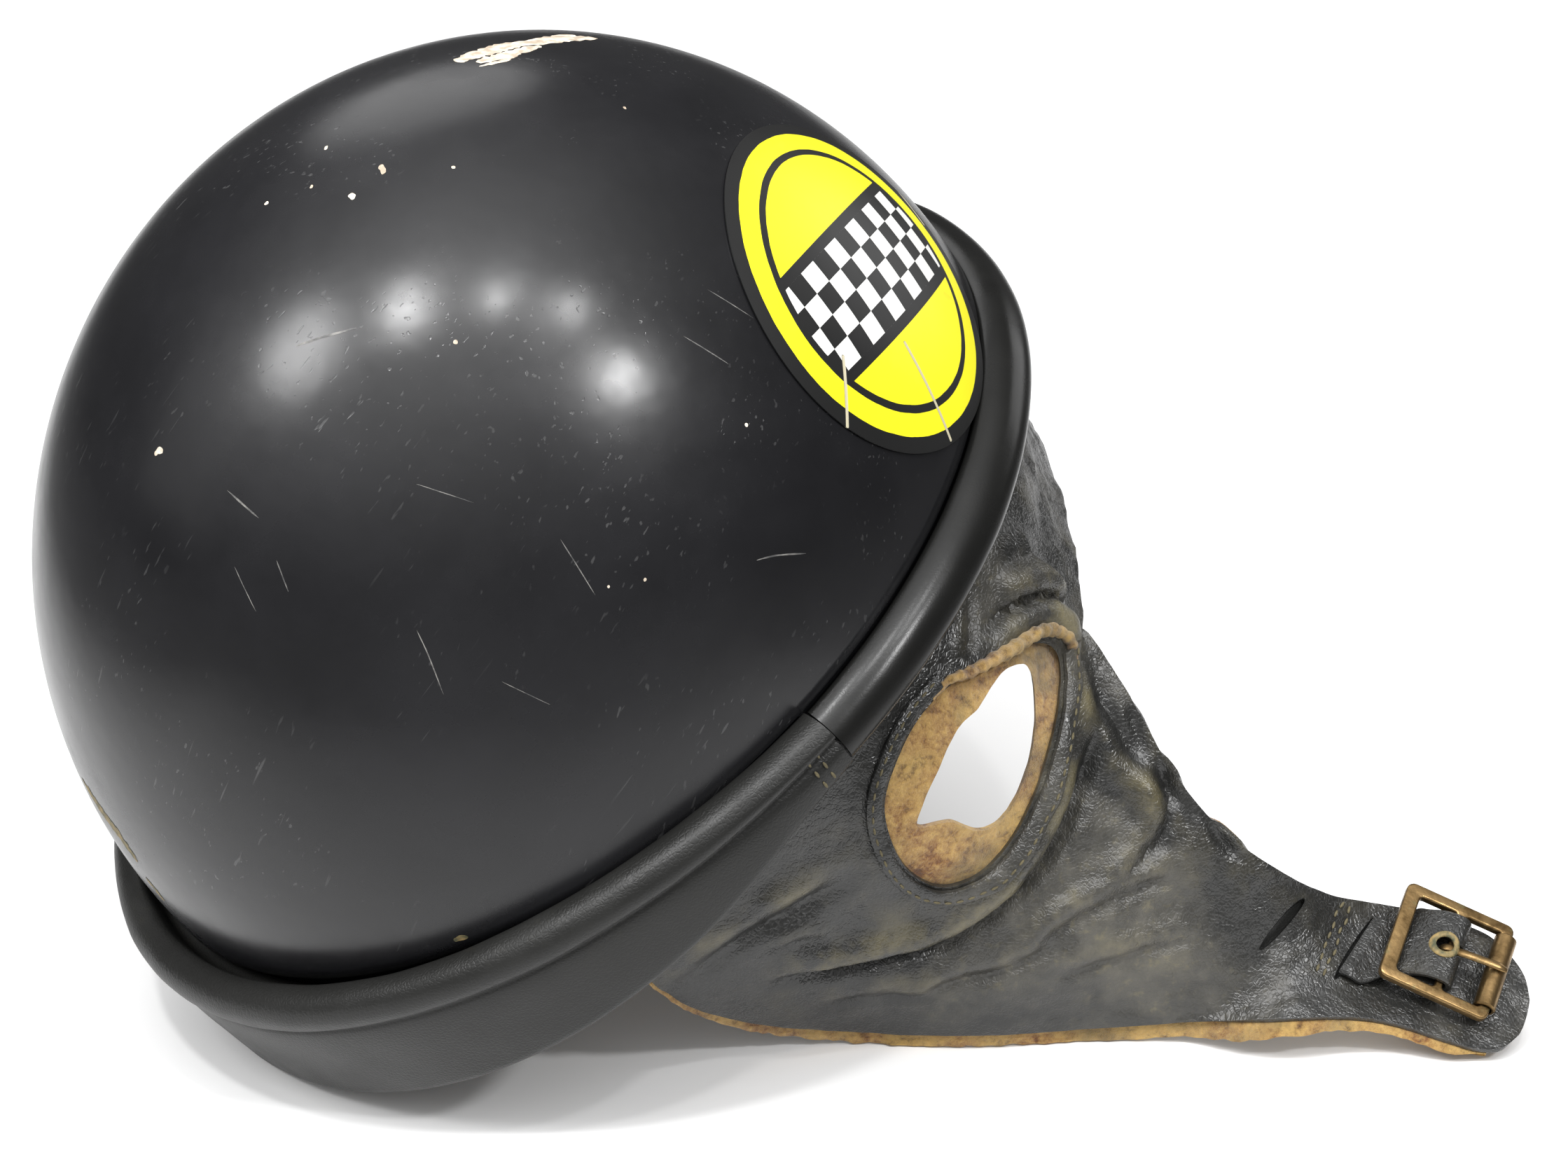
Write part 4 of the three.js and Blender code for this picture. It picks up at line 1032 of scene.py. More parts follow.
def make_flaps(context):
    stuff = materials(context)
    v, u = np.meshgrid(flap_rows(), np.linspace(0, 1, 84), indexing="ij")
    skin, normal, relief = flap_skin(u, v)
    flap = sheet_of("near_flap_leather", skin, stuff["flap leather"], stuff["raw edge"])
    mark_worn(flap, relief)
    thicken(flap, LEATHER, 0.35)
    hole = prism("hole", ragged_outline(EAR_HOLE, 0.12, 1), FACE_AXES, *FACE_REACH)
    carve(flap, hole)
    far = mirrored(flap, "far_flap_leather")
    slots = []
    for slot in TAB_SLOTS:
        outline = lens(slot["from"], slot["to"], slot["wide"])
        rings = [on_tab(np.column_stack((outline, np.full(len(outline), z)))) for z in slot["between"]]
        slots.append(tidy_solid(piece("slot", np.stack(rings), tube_faces(2, len(outline)))))
    carve(flap, *slots)
    back_v, back_u = np.meshgrid(np.linspace(7, 12, 50), np.linspace(0.08, 0.96, 30), indexing="ij")
    hidden, hidden_normal, _ = flap_skin(back_u, back_v)
    backing = sheet_of("tab_backing", hidden - hidden_normal * (LEATHER + 0.04), stuff["peak leather"])
    dress(thicken(backing, 0.2), "leather")
    dress(flap, "leather", "near_flap")
    dress(far, "leather", "far_flap")

    # Suede lining: the same face a little deeper, run on past the front edge
    outer = skin - normal * (LEATHER + GAP)
    into = unit(unit(outer[:, 0] - outer[:, 1]) + np.array((0, 0, -1.4)))
    ragged = np.array([noise.noise(Vector(p) * 0.35) for p in outer[:, 0]]) * 0.5
    share = (0.2 + 0.8 * smoothstep(v[:, 0], 2, 5)) * (1 - 0.6 * smoothstep(v[:, 0], 8, 10.5)) * SUEDE_REACH
    share = share * (1 + 0.4 * ragged) * (1 - smoothstep(v[:, 0], 12, 13.2)) + 0.2
    outward = unit(normal[:, 0] * (1, 1, 0))
    runs = [outer[:, 0] + into * (share * k)[:, None] for k in (1.0, 0.66, 0.33)]
    for run in runs:
        under = np.maximum(FLOOR + 0.6 - run[:, 2], 0)[:, None]
        run += under * (outward + (0, 0, 1))
    lining_points = np.concatenate([np.stack(runs, 1), outer], axis=1)
    lining = sheet_of("near_flap_suede", lining_points[v[:, 0] <= 13.4], stuff["suede nap"])
    thicken(lining, SUEDE, 0.5)
    hole = prism("hole", ragged_outline(SUEDE_HOLE, 0.5, 2), FACE_AXES, *FACE_REACH)
    carve(lining, hole)
    dress(mirrored(lining, "far_flap_suede"), "suede", "far_flap_lining")
    dress(lining, "suede", "near_flap_lining")


def face_spots():
    """A coarse net over the flap, to start the search for a spot on its face."""
    v, u = np.meshgrid(np.linspace(1.5, FLAP_ROWS - 0.2, 60), np.linspace(0, 1, 24), indexing="ij")
    net = flap_at(u, v)
    return u.ravel(), v.ravel(), (net @ FACE_ALONG).ravel(), net[..., 2].ravel()


def on_flap(h, z):
    """Spots drawn on the flap's face, brought onto the folded leather, with the outward direction."""
    h, z = np.asarray(h, float), np.asarray(z, float)
    net_u, net_v, net_h, net_z = face_spots()
    nearest = np.argmin((net_h - h[..., None]) ** 2 + (net_z - z[..., None]) ** 2, -1)
    u, v = net_u[nearest], net_v[nearest]
    step = 1e-3
    for _ in range(25):
        here = flap_at(u, v)
        du = (flap_at(u + step, v) - here) / step
        dv = (flap_at(u, v + step) - here) / step
        e, f = here @ FACE_ALONG - h, here[..., 2] - z
        eu, fu, ev, fv = du @ FACE_ALONG, du[..., 2], dv @ FACE_ALONG, dv[..., 2]
        det = eu * fv - ev * fu
        u = u - 0.7 * (e * fv - f * ev) / det
        v = v - 0.7 * (eu * f - fu * e) / det
    skin, normal, relief = flap_skin(u, v)
    return skin, normal


# Ear hole: its welt below and the rolled raw edge of the fold above
WELT = {"near": 0.8, "far": 5, "from": -0.14, "to": 0.62}
ROLLED_EDGE = (
    (90, -8), (94.5, -5), (100, -4.4), (106.5, -3.4), (113, -2.4), (118.4, -1.4), (123, -2), (127.6, -5), (130.4, -10), (130.6, -16),
)
WELT_SECTION = ((0, 0.3), (0, 1.3), (0.12, 1.8), (0.5, 2.0), (0.85, 1.8), (1, 1.2), (1, 0.3))


def hole_line(places, away):
    """Spots along the ear hole, a distance outside it: 0 to 1 runs once round."""
    fine = curve_through(EAR_HOLE, 24, closed=True)
    count = len(fine)
    spot = np.array([fine[int(round(p % 1 * count)) % count] for p in places])
    after = np.array([fine[(int(round(p % 1 * count)) + 3) % count] for p in places])
    before = np.array([fine[(int(round(p % 1 * count)) - 3) % count] for p in places])
    along = unit(after - before)
    side = np.stack((-along[:, 1], along[:, 0]), -1)
    return spot - side * away


def make_ear_holes(context):
    stuff = materials(context)
    places = np.linspace(WELT["from"], WELT["to"], 170)
    columns = []
    for share, up in WELT_SECTION:
        away = WELT["near"] + (WELT["far"] - WELT["near"]) * share
        line = hole_line(places, away)
        skin, normal = on_flap(line[:, 0], line[:, 1])
        columns.append(skin + normal * up)
    welt = loft("near_ear_welt_leather", np.stack(columns, 1), stuff["flap leather"])
    dress(mirrored(welt, "far_ear_welt_leather"), "leather", "far_ear_welt")
    dress(welt, "leather", "near_ear_welt")
    path = curve_through(ROLLED_EDGE, 14)
    skin, normal = on_flap(path[:, 0], path[:, 1])
    line = skin + normal * 0.6
    along = unit(np.gradient(line, axis=0))
    side = np.cross(along, normal)
    turn = np.linspace(0, 2 * math.pi, 14, endpoint=False)
    swell = 1.9 * np.sqrt(np.clip(np.sin(np.linspace(0.06, math.pi - 0.06, len(line))), 0.12, 1))
    swell = swell * (1 + 0.12 * np.sin(np.arange(len(line)) * 0.9))
    rings = line[:, None] + swell[:, None, None] * (
        side[:, None] * np.cos(turn)[None, :, None] + 1.15 * normal[:, None] * np.sin(turn)[None, :, None]
    )
    lip = loft("near_ear_rolled_edge", rings, stuff["raw edge"])
    ripple(lip, 0.35, 200, 0.15, 900)
    dress(mirrored(lip, "far_ear_rolled_edge"), "suede")
    dress(lip, "suede")


# Nape curtain
NAPE = {"wall": 3, "tuck": 8, "side_drop": 84, "mid_drop": 62, "draw": 0.8, "taper": 0.5, "apart": 1.6, "lap": 0.98, "behind": 6.7, "blend": 0.28, "flap_rows": 4.3}


def nape_at(u, v):
    """Outer face of the curtain: u from the near flap to the far one, v from the rim down."""
    left = u <= 0.5
    t = np.where(left, u, 1 - u)
    start = FLAP_END + NAPE["apart"]
    angle = start + (180 - start) * 2 * t
    drop = NAPE["mid_drop"] + (NAPE["side_drop"] - NAPE["mid_drop"]) * (1 - 2 * t) ** 2
    out = INSIDE - NAPE["draw"] * smoothstep(v, 0.1, 0.3) - NAPE["taper"] * v
    hang = standing(rim_point(angle, out, NAPE["tuck"] - v * (NAPE["tuck"] + drop)))
    lap = np.full(v.shape, NAPE["lap"])
    rows = v * NAPE["flap_rows"]
    edge = flap_at(lap, rows) - outward(flap_at, lap, rows) * NAPE["behind"]
    mix = np.maximum(smoothstep(t, 0, NAPE["blend"]), 1 - smoothstep(v, 0.14, 0.3))[..., None]
    point = edge * (1 - mix) + hang * mix
    point[..., 1] = np.where(left, point[..., 1], -point[..., 1])
    return point


def make_nape(context):
    stuff = materials(context)
    v, u = np.meshgrid(np.linspace(0, 1, 60), np.linspace(0, 1, 160), indexing="ij")
    base = nape_at(u, v)
    normal = outward(nape_at, np.clip(u, 0.004, 0.996), v)
    relief = wrinkles(base, 1.3) * smoothstep(v, 0.15, 0.4)
    curtain = sheet_of("nape_curtain_leather", base + normal * relief[..., None], stuff["flap leather"])
    mark_worn(curtain, relief)
    thicken(curtain, NAPE["wall"], 0.9)
    dress(curtain, "leather", "nape_curtain")


# Buckle
BAR = {"length": 30.9, "back": -16.2, "front": 14.7, "depth": 2.6, "side": 3.2, "back_width": 4.2, "centre": 2, "rod": 2.8}
ROLLER = {"inner": 2.2, "outer": 3, "length": 23.4}
STRAP = {"width": 21.5, "thick": 1.7}
PRONG = {"eye": 2.42, "width": 2.4, "thick": 1.3}
STRAP_RUN = ((-26.2, -4.1), (-24, -3.4), (-19, -3.4), (-13.5, -2.8), (-11.3, -2.5), (-8.5, -1.2), (-4.5, 1.6), (-1.5, 2.5))
STRAP_RETURN = ((-5, -2.8), (-9, -3.7), (-12.5, -4.7))


def corners(x0, x1, y0, y1, radius, steps=5):
    """Rectangle with round corners."""
    outline = []
    for middle_x, middle_y, start in ((x1 - radius, y0 + radius, -90), (x1 - radius, y1 - radius, 0), (x0 + radius, y1 - radius, 90), (x0 + radius, y0 + radius, 180)):
        for a in np.radians(np.linspace(start, start + 90, steps)):
            outline.append((middle_x + radius * math.cos(a), middle_y + radius * math.sin(a)))
    return outline


def flat_plate(name, outlines, depth, bevel, material):
    """Plate with holes and softened edges, lying on the tab's own axes."""
    curve = bpy.data.curves.new(name, "CURVE")
    curve.dimensions = "2D"
    curve.fill_mode = "BOTH"
    curve.extrude = depth / 2 - bevel
    curve.bevel_depth = bevel
    curve.bevel_resolution = 3
    curve.offset = -bevel
    for outline in outlines:
        spline = curve.splines.new("POLY")
        spline.points.add(len(outline) - 1)
        spline.points.foreach_set("co", np.array([(x, y, 0, 1) for x, y in outline]).ravel())
        spline.use_cyclic_u = True
    source = bpy.data.objects.new(name, curve)
    bpy.context.scene.collection.objects.link(source)
    bpy.context.view_layer.update()
    mesh = bpy.data.meshes.new_from_object(source.evaluated_get(bpy.context.evaluated_depsgraph_get()))
    bpy.data.objects.remove(source)
    bpy.data.curves.remove(curve)
    points = np.array([v.co for v in mesh.vertices])
    faces = [tuple(p.vertices) for p in mesh.polygons]
    bpy.data.meshes.remove(mesh)
    return tidy_solid(piece(name, on_tab(points), faces, material), 45)


def swept(path, sections):
    """Rings of a band along a path in the tab's x and z: each section lists across and up offsets."""
    path = np.array(path, float)
    along = unit(np.gradient(path, axis=0))
    rings = []
    for spot, way, section in zip(path, along, sections):
        up = np.array((-way[1], way[0]))
        rings.append([(spot[0] + up[0] * rise, across, spot[1] + up[1] * rise) for across, rise in section])
    return on_tab(np.array(rings))


def make_buckle(context):
    stuff = materials(context)
    brass = stuff["aged brass"]
    half = BAR["length"] / 2
    inside = half - BAR["side"]
    frame_piece = flat_plate(
        "buckle_frame_brass",
        (
            corners(BAR["back"], BAR["front"], -half, half, 2.2),
            corners(BAR["back"] + BAR["back_width"], -BAR["centre"] / 2, -inside, inside, 1.2),
            corners(BAR["centre"] / 2, BAR["front"] - BAR["rod"], -inside, inside, 1.2),
        ),
        BAR["depth"], 0.6, brass,
    )
    dress(frame_piece, "brass", "buckle_frame")

    rod = BAR["front"] - BAR["rod"] / 2
    end = ROLLER["length"] / 2
    profile = rounded(((ROLLER["inner"], -end), (ROLLER["outer"], -end), (ROLLER["outer"], end), (ROLLER["inner"], end)), 0)
    ridge = [(ROLLER["inner"], -end), (ROLLER["outer"] - 0.4, -end), (ROLLER["outer"], -end + 0.4), (ROLLER["outer"], end - 0.4), (ROLLER["outer"] - 0.4, end), (ROLLER["inner"], end)]
    turns = np.radians(np.arange(40) * 9)
    rings = [[(rod + r * math.cos(a), y, r * math.sin(a)) for r, y in ridge] for a in turns]
    roller = loft("buckle_roller_brass", on_tab(np.array(rings)), brass, hoop=True, sharp=35)
    dress(roller, "brass", "buckle_roller", body="roller")

    eye = [(PRONG["eye"] * math.cos(a), PRONG["eye"] * math.sin(a)) for a in np.radians(np.linspace(-30, -290, 26))]
    arm = curve_through(((1.6, 2.3), (4, 2.9), (8, 3.5), (11.5, 4.0), (13.5, 4.05), (15.5, 3.6)), 5)
    path = np.vstack((eye, arm))
    oval = np.linspace(0, 2 * math.pi, 16, endpoint=False)
    sections = []
    for i in range(len(path)):
        left = (len(path) - 1 - i) / 6
        taper = min(1, 0.35 + 0.65 * math.sqrt(max(left, 0)))
        sections.append([(PRONG["width"] / 2 * math.cos(a) * taper, PRONG["thick"] / 2 * math.sin(a) * taper) for a in oval])
    prong = loft("buckle_prong_brass", swept(path, sections), brass, sharp=60)
    dress(prong, "brass", "buckle_prong", body="prong")

    bend_radius = 1.75 + STRAP["thick"] / 2
    bend = [(bend_radius * math.cos(a), bend_radius * math.sin(a)) for a in np.radians(np.linspace(75, -90, 14))]
    path = np.vstack((curve_through(STRAP_RUN, 5), bend, curve_through(STRAP_RETURN, 5)))
    side, top = STRAP["width"] / 2, STRAP["thick"] / 2
    band = rounded(((-side, -top), (side, -top), (side, top), (-side, top)), 0)
    section = [(-side, -top + 0.4), (-side + 0.4, -top), *[(x, -top) for x in (-7, -3.5, 0, 3.5, 7)], (side - 0.4, -top), (side, -top + 0.4),
               (side, top - 0.4), (side - 0.4, top), *[(x, top) for x in (7, 3.5, 0, -3.5, -7)], (-side + 0.4, top), (-side, top - 0.4)]
    rings = (swept(path, [section] * len(path)) - BUCKLE_PLACE) @ BUCKLE_TURN
    away = smoothstep(-rings[..., 0], 10, 21) * (np.arange(len(path)) < 34)[:, None]
    across = rings[..., 1].copy()
    rings[..., 0] += away * (0.2 * across + 3.2)
    rings[..., 1] -= away * 7
    ground = ((drop_on_tab(rings[..., 0].ravel(), rings[..., 1].ravel(), 0.25) - BUCKLE_PLACE) @ BUCKLE_TURN)[:, 2]
    middle = -3.4 - 0.7 * away
    resting = ground.reshape(rings.shape[:2]) + STRAP["thick"] / 2
    rings[..., 2] += away * (resting - middle)
    strap = loft("buckle_strap_leather", on_tab(rings), stuff["flap leather"])
    slot = tidy_solid(piece("slot", on_tab(np.array([[(x, y, z) for x, y in corners(-5.5, 6, -1.7, 1.7, 1.6)] for z in (-3.9, 6)])), tube_faces(2, 20)))
    eyelet = tidy_solid(piece("eyelet", on_tab(np.array([[(-2.2 + 3 * math.cos(a), 3 * math.sin(a), z) for a in oval] for z in (0.2, 6)])), tube_faces(2, 16)))
    carve(strap, slot, eyelet)
    dress(strap, "leather", "buckle_strap")
    upper = np.vstack((curve_through(STRAP_RUN, 5), bend[:8]))
    turns = np.linspace(0, 2 * math.pi, 30, endpoint=False)
    rings = []
    for a in turns:
        ring = [(-2.2 + (3.2 + 0.9 * math.cos(b)) * math.cos(a), (3.2 + 0.9 * math.cos(b)) * math.sin(a)) for b in oval]
        rings.append([(x, y, np.interp(x, upper[:, 0], upper[:, 1]) + STRAP["thick"] / 2 + 0.1 + 0.6 * math.sin(b)) for (x, y), b in zip(ring, oval)])
    dress(loft("strap_eyelet", on_tab(np.array(rings)), stuff["chipped edge"], hoop=True, sharp=60), "leather", "buckle_strap")


# Far chin strap: middle of the strap and the tilt of its width
FAR_STRAP = {"width": 19, "thick": 2.4, "holes": 5, "pitch": 10.8, "hole_radius": 2}
FAR_RUN = (
    (151.6, -159.6, -89.1, 28), (157.4, -166.6, -93.4, 28), (164.2, -175.8, -97.3, 28), (171.4, -184.6, -101.1, 28),
    (176.2, -190.3, -103.2, 26), (181.8, -196.2, -105.2, 18), (189.5, -204.5, -111.2, 6), (196, -211.8, -114.6, 0),
    (211, -228.8, -114.6, 0), (228, -248, -114.6, 0),
)


def make_far_strap(context):
    stuff = materials(context)
    run = curve_through(FAR_RUN, 9)
    path, tilt = run[:, :3], run[:, 3]
    along = unit(np.gradient(path, axis=0))
    level = np.array((math.cos(math.radians(40.3)), math.sin(math.radians(40.3)), 0))
    left = np.linalg.norm(path - path[-1], axis=1)
    begun = np.linalg.norm(path - path[0], axis=1)
    rings = []
    for spot, way, lean, to_end, from_start in zip(path, along, tilt, left, begun):
        side = np.array(Matrix.Rotation(math.radians(lean), 3, Vector(way)) @ Vector(level))
        side = unit(side - way * (side @ way))
        up = np.cross(way, side)
        taper = math.sqrt(max(1 - max(0, 1 - (to_end + 0.6) / 9) ** 2, 0.02))
        taper = min(taper, math.sqrt(max(1 - max(0, 1 - (from_start + 2) / 5) ** 2, 0.02)))
        w, h = FAR_STRAP["width"] / 2 * taper, FAR_STRAP["thick"] / 2
        section = [(-w, -h + 0.5), (-w + 0.5, -h), (0, -h), (w - 0.5, -h), (w, -h + 0.5), (w, h - 0.6), (w - 0.6, h), (0, h + 0.05), (-w + 0.6, h), (-w, h - 0.6)]
        rings.append([spot + side * a + up * b for a, b in section])
    strap = loft("strap", np.array(rings), stuff["flap leather"])
    start, way = path[63], unit(path[-1] - path[63])
    cutters = []
    for k in range(FAR_STRAP["holes"]):
        middle = np.array(FAR_RUN[7][:3]) + way * (2 + k * FAR_STRAP["pitch"])
        ring = [(middle[0] + FAR_STRAP["hole_radius"] * math.cos(a), middle[1] + FAR_STRAP["hole_radius"] * math.sin(a)) for a in np.linspace(0, 2 * math.pi, 18, endpoint=False)]
        cutters.append(prism("punch", np.array(ring), ((1, 0, 0), (0, 1, 0), (0, 0, 1)), -120, -108))
    carve(strap, *cutters)
    far = mirrored(strap, "far_strap_leather")
    bpy.data.objects.remove(strap)
    dress(far, "leather", "far_strap")


# Stitching
def stitch_tree(thread):
    """Geometry Nodes: one short rounded stitch at each step along the runs."""
    tree = bpy.data.node_groups.new("stitches", "GeometryNodeTree")
    face = tree.interface
    face.new_socket("Runs", in_out="INPUT", socket_type="NodeSocketGeometry")
    for label, default in (("Pitch", 0.0032), ("Length", 0.0024), ("Thickness", 0.0008)):
        face.new_socket(label, in_out="INPUT", socket_type="NodeSocketFloat").default_value = default
    face.new_socket("Stitches", in_out="OUTPUT", socket_type="NodeSocketGeometry")
    given = tree.nodes.new("NodeGroupInput").outputs
    steps = wire(tree, "GeometryNodeResampleCurve", {"mode": "LENGTH"}, Curve=given["Runs"], Length=given["Pitch"])
    ball = wire(tree, "GeometryNodeMeshUVSphere", Segments=8, Rings=6, Radius=0.5)
    size = wire(tree, "ShaderNodeCombineXYZ", X=given["Length"], Y=given["Thickness"], Z=given["Thickness"])
    stitch = wire(tree, "GeometryNodeTransform", Geometry=ball.outputs[0], Scale=size.outputs[0])
    tangent = tree.nodes.new("GeometryNodeInputTangent")
    turn = wire(tree, "FunctionNodeAlignRotationToVector", {"axis": "X"}, Vector=tangent.outputs[0])
    laid = wire(tree, "GeometryNodeInstanceOnPoints", Points=steps.outputs[0], Instance=stitch.outputs[0], Rotation=turn.outputs[0])
    real = wire(tree, "GeometryNodeRealizeInstances", Geometry=laid.outputs[0])
    smooth = wire(tree, "GeometryNodeSetShadeSmooth", Geometry=real.outputs[0])
    done = wire(tree, "GeometryNodeSetMaterial", Geometry=smooth.outputs[0], Material=thread)
    tree.links.new(done.outputs[0], tree.nodes.new("NodeGroupOutput").inputs[0])
    return tree


def sew(name, runs, tree, pitch, length, thickness, slot="leather"):
    """A stitched line along each run of points."""
    curve = bpy.data.curves.new(name, "CURVE")
    curve.dimensions = "3D"
    for run in runs:
        spline = curve.splines.new("POLY")
        spline.points.add(len(run) - 1)
        placed_run = (np.asarray(run) + PLACE) * MM
        spline.points.foreach_set("co", np.column_stack((placed_run, np.ones(len(run)))).ravel())
    source = bpy.data.objects.new(name + "_runs", curve)
    bpy.context.scene.collection.objects.link(source)
    modifier = source.modifiers.new("stitches", "NODES")
    modifier.node_group = tree
    sizes = {"Pitch": pitch, "Length": length, "Thickness": thickness}
    for item in tree.interface.items_tree:
        if item.in_out == "INPUT" and item.name in sizes:
            modifier[item.identifier] = sizes[item.name] * MM
    bpy.context.view_layer.update()
    mesh = bpy.data.meshes.new_from_object(source.evaluated_get(bpy.context.evaluated_depsgraph_get()))
    bpy.data.objects.remove(source)
    mesh.name = name
    stitches = bpy.data.objects.new(name, mesh)
    bpy.context.scene.collection.objects.link(stitches)
    return dress(stitches, slot)


def mirror_run(run):
    return np.asarray(run) * np.array((1, -1, 1))


def make_stitching(context):
    stuff = materials(context)
    sizes = context.scene.helmet_sizes
    tree = stitch_tree(stuff["thread"])
    pitch, length, thickness = sizes.stitch_pitch / MM, sizes.stitch_length / MM, sizes.thread_thickness / MM

    # Peak ends, tacked down beside the seam with the trim
    ends = []
    for angle in (SEAM_ANGLE - 2.4, SEAM_ANGLE - 3.6):
        crevice, crest, reach, drop = peak_sizes(np.array([angle]))[0]
        ends.append(standing(rim_point(angle, np.linspace(reach - 0.2, reach + 0.35, 8), np.linspace(-3, drop + 3.2, 8))))
    peak_ends = ends + [mirror_run(run) for run in ends]
    sew("peak_end_stitches", peak_ends, tree, pitch, length, thickness, "peak_leather")

    # Round the welt
    places = np.linspace(WELT["from"] + 0.01, WELT["to"] - 0.01, 160)
    line = hole_line(places, WELT["far"] - 1.4)
    skin, normal = on_flap(line[:, 0], line[:, 1])
    welt_run = skin + normal * 2.0
    sew("ear_welt_stitches", [welt_run, mirror_run(welt_run)], tree, pitch, length * 0.9, thickness * 0.85)

    # Two rows over the tab's hidden strap, between the slots
    y = np.linspace(-19, 1.5, 16)
    rows = [drop_on_tab(np.full_like(y, x), y, 0.35) for x in (-28.4, -31)]
    far_rows = [mirror_run(row) for row in rows]
    sew("tab_stitches", rows + far_rows, tree, pitch, length, thickness)


def drop_on_tab(x, y, lift):
    """Spots on the tab's leather below or above given places of its own axes."""
    v, u = np.meshgrid(np.linspace(5, FLAP_ROWS, 160), np.linspace(0, 1, 80), indexing="ij")
    skin, normal, relief = flap_skin(u, v)
    flat = ((skin - BUCKLE_PLACE) @ BUCKLE_TURN).reshape(-1, 3)
    skin, normal = skin.reshape(-1, 3), normal.reshape(-1, 3)
    nearest = np.argmin((flat[:, 0] - x[:, None]) ** 2 + (flat[:, 1] - y[:, None]) ** 2, -1)
    return skin[nearest] + normal[nearest] * lift


# Stage
CAMERA = {"azimuth": -35.59, "elevation": 23.29, "spot": (-432.67, -708.46, 352.92), "focal_pixels": 4781.8, "picture_width": 2239}
GLOW = {"way": (-0.3, -0.3, 0.9), "tightness": 4.0, "strength": 2.8, "dim": 0.08}
LAMPS = (
    # name, bearing and height of the reflected ray in degrees, size in metres, power in watts, distance in metres
    ("lamp_a", (-0.404, -0.27, 0.874), (-74.6, -57.7, 103.6), 0.12, 9, 1.6),
    ("lamp_b", (-0.129, -0.446, 0.886), (-56, -67.6, 105.2), 0.09, 3.6, 1.6),
    ("lamp_c", (0.068, -0.579, 0.812), (-42.3, -76.3, 101.5), 0.09, 3.6, 1.6),
    ("lamp_d", (0.155, -0.776, 0.611), (-35.8, -88.1, 87.1), 0.13, 8.5, 1.6),
    ("lamp_glow", (-0.697, -0.023, 0.717), (-96.4, -46.2, 94.5), 0.5, 11, 1.5),
)


def area_light(name, place, aim, size, power, shape="DISK"):
    lamp = bpy.data.lights.new(name, "AREA")
    lamp.shape = shape
    lamp.size = size
    lamp.energy = power
    thing = bpy.data.objects.new(name, lamp)
    thing.location = place
    thing.rotation_euler = (Vector(aim) - Vector(place)).to_track_quat("-Z", "Y").to_euler()
    bpy.context.scene.collection.objects.link(thing)
    return thing


def make_stage(context):
    material, tree, surface, vector = blank_material("table with painted shade")
    # The table's colour goes from white to dark grey further towards the camera and out to the sides: painted shade,
    # which also darkens the table's reflection in the dome.
    nearer = maths(tree, "SUBTRACT", arrows(tree, "DOT_PRODUCT", vector, (-0.582, -0.813, 0), out="Value"), 0.2)
    sideways = maths(tree, "ABSOLUTE", arrows(tree, "DOT_PRODUCT", vector, (0.813, -0.582, 0), out="Value"))
    beside = maths(tree, "SUBTRACT", maths(tree, "MULTIPLY_ADD", nearer, 0.215, sideways), 0.27)
    dim = ranged(tree, maths(tree, "MAXIMUM", nearer, beside), 0.0, 0.28)
    plug(tree, surface.inputs["Base Color"], mixed(tree, dim, (0.86, 0.86, 0.86, 1), (0.16, 0.16, 0.16, 1)))
    surface.inputs["Roughness"].default_value = 0.6
    surface.inputs["Specular IOR Level"].default_value = 0.2
    half = 4.0
    mesh = bpy.data.meshes.new("table")
    mesh.from_pydata([(-half, -half, 0), (half, -half, 0), (half, half, 0), (-half, half, 0)], [], [(0, 1, 2, 3)])
    mesh.materials.append(material)
    table = bpy.data.objects.new("table", mesh)
    bpy.context.scene.collection.objects.link(table)

    world = bpy.data.worlds.new("studio")
    world.use_nodes = True
    sky = world.node_tree
    way = sky.nodes.new("ShaderNodeTexCoord").outputs["Generated"]
    toward = arrows(sky, "DOT_PRODUCT", way, tuple(unit(np.array(GLOW["way"]))), out="Value")
    glow = maths(sky, "POWER", maths(sky, "MAXIMUM", toward, 0.0), GLOW["tightness"])
    strength = maths(sky, "MULTIPLY_ADD", glow, GLOW["strength"], GLOW["dim"])
    plug(sky, sky.nodes["Background"].inputs["Strength"], strength)
    sky.nodes["Background"].inputs["Color"].default_value = (1, 1, 1, 1)
    context.scene.world = world
    context.scene.view_settings.view_transform = "Standard"

    for name, way, spot, size, power, away in LAMPS:
        start = (np.array(spot) + PLACE) * MM
        area_light(name, tuple(start + np.array(way) * away), tuple(start), size, power)
    area_light("bank_behind", (0.3, 1.2, 1.5), (0, 0, 0.1), 1.0, 5, "DISK")
    area_light("bank_right", (1.9, -0.1, 1.0), (0, 0, 0.1), 1.0, 6, "SQUARE")
    area_light("bank_left", (-1.9, 0.5, 0.9), (0, 0, 0.1), 1.0, 2, "SQUARE")

    a, e = math.radians(CAMERA["azimuth"]), math.radians(CAMERA["elevation"])
    back = Vector((math.sin(a) * math.cos(e), -math.cos(a) * math.cos(e), math.sin(e)))
    right = Vector((math.cos(a), math.sin(a), 0))
    up = back.cross(right)
    lens_data = bpy.data.cameras.new("camera")
    lens_data.sensor_width = 36
    lens_data.lens = CAMERA["focal_pixels"] / CAMERA["picture_width"] * 36
    lens_data.clip_start = 0.01
    lens_data.clip_end = 50
    camera = bpy.data.objects.new("camera", lens_data)
    turn = Matrix((right, up, back)).transposed().to_4x4()
    spot = (np.array(CAMERA["spot"]) + PLACE) * MM
    camera.matrix_world = Matrix.Translation(Vector(spot)) @ turn
    context.scene.collection.objects.link(camera)
    context.scene.camera = camera


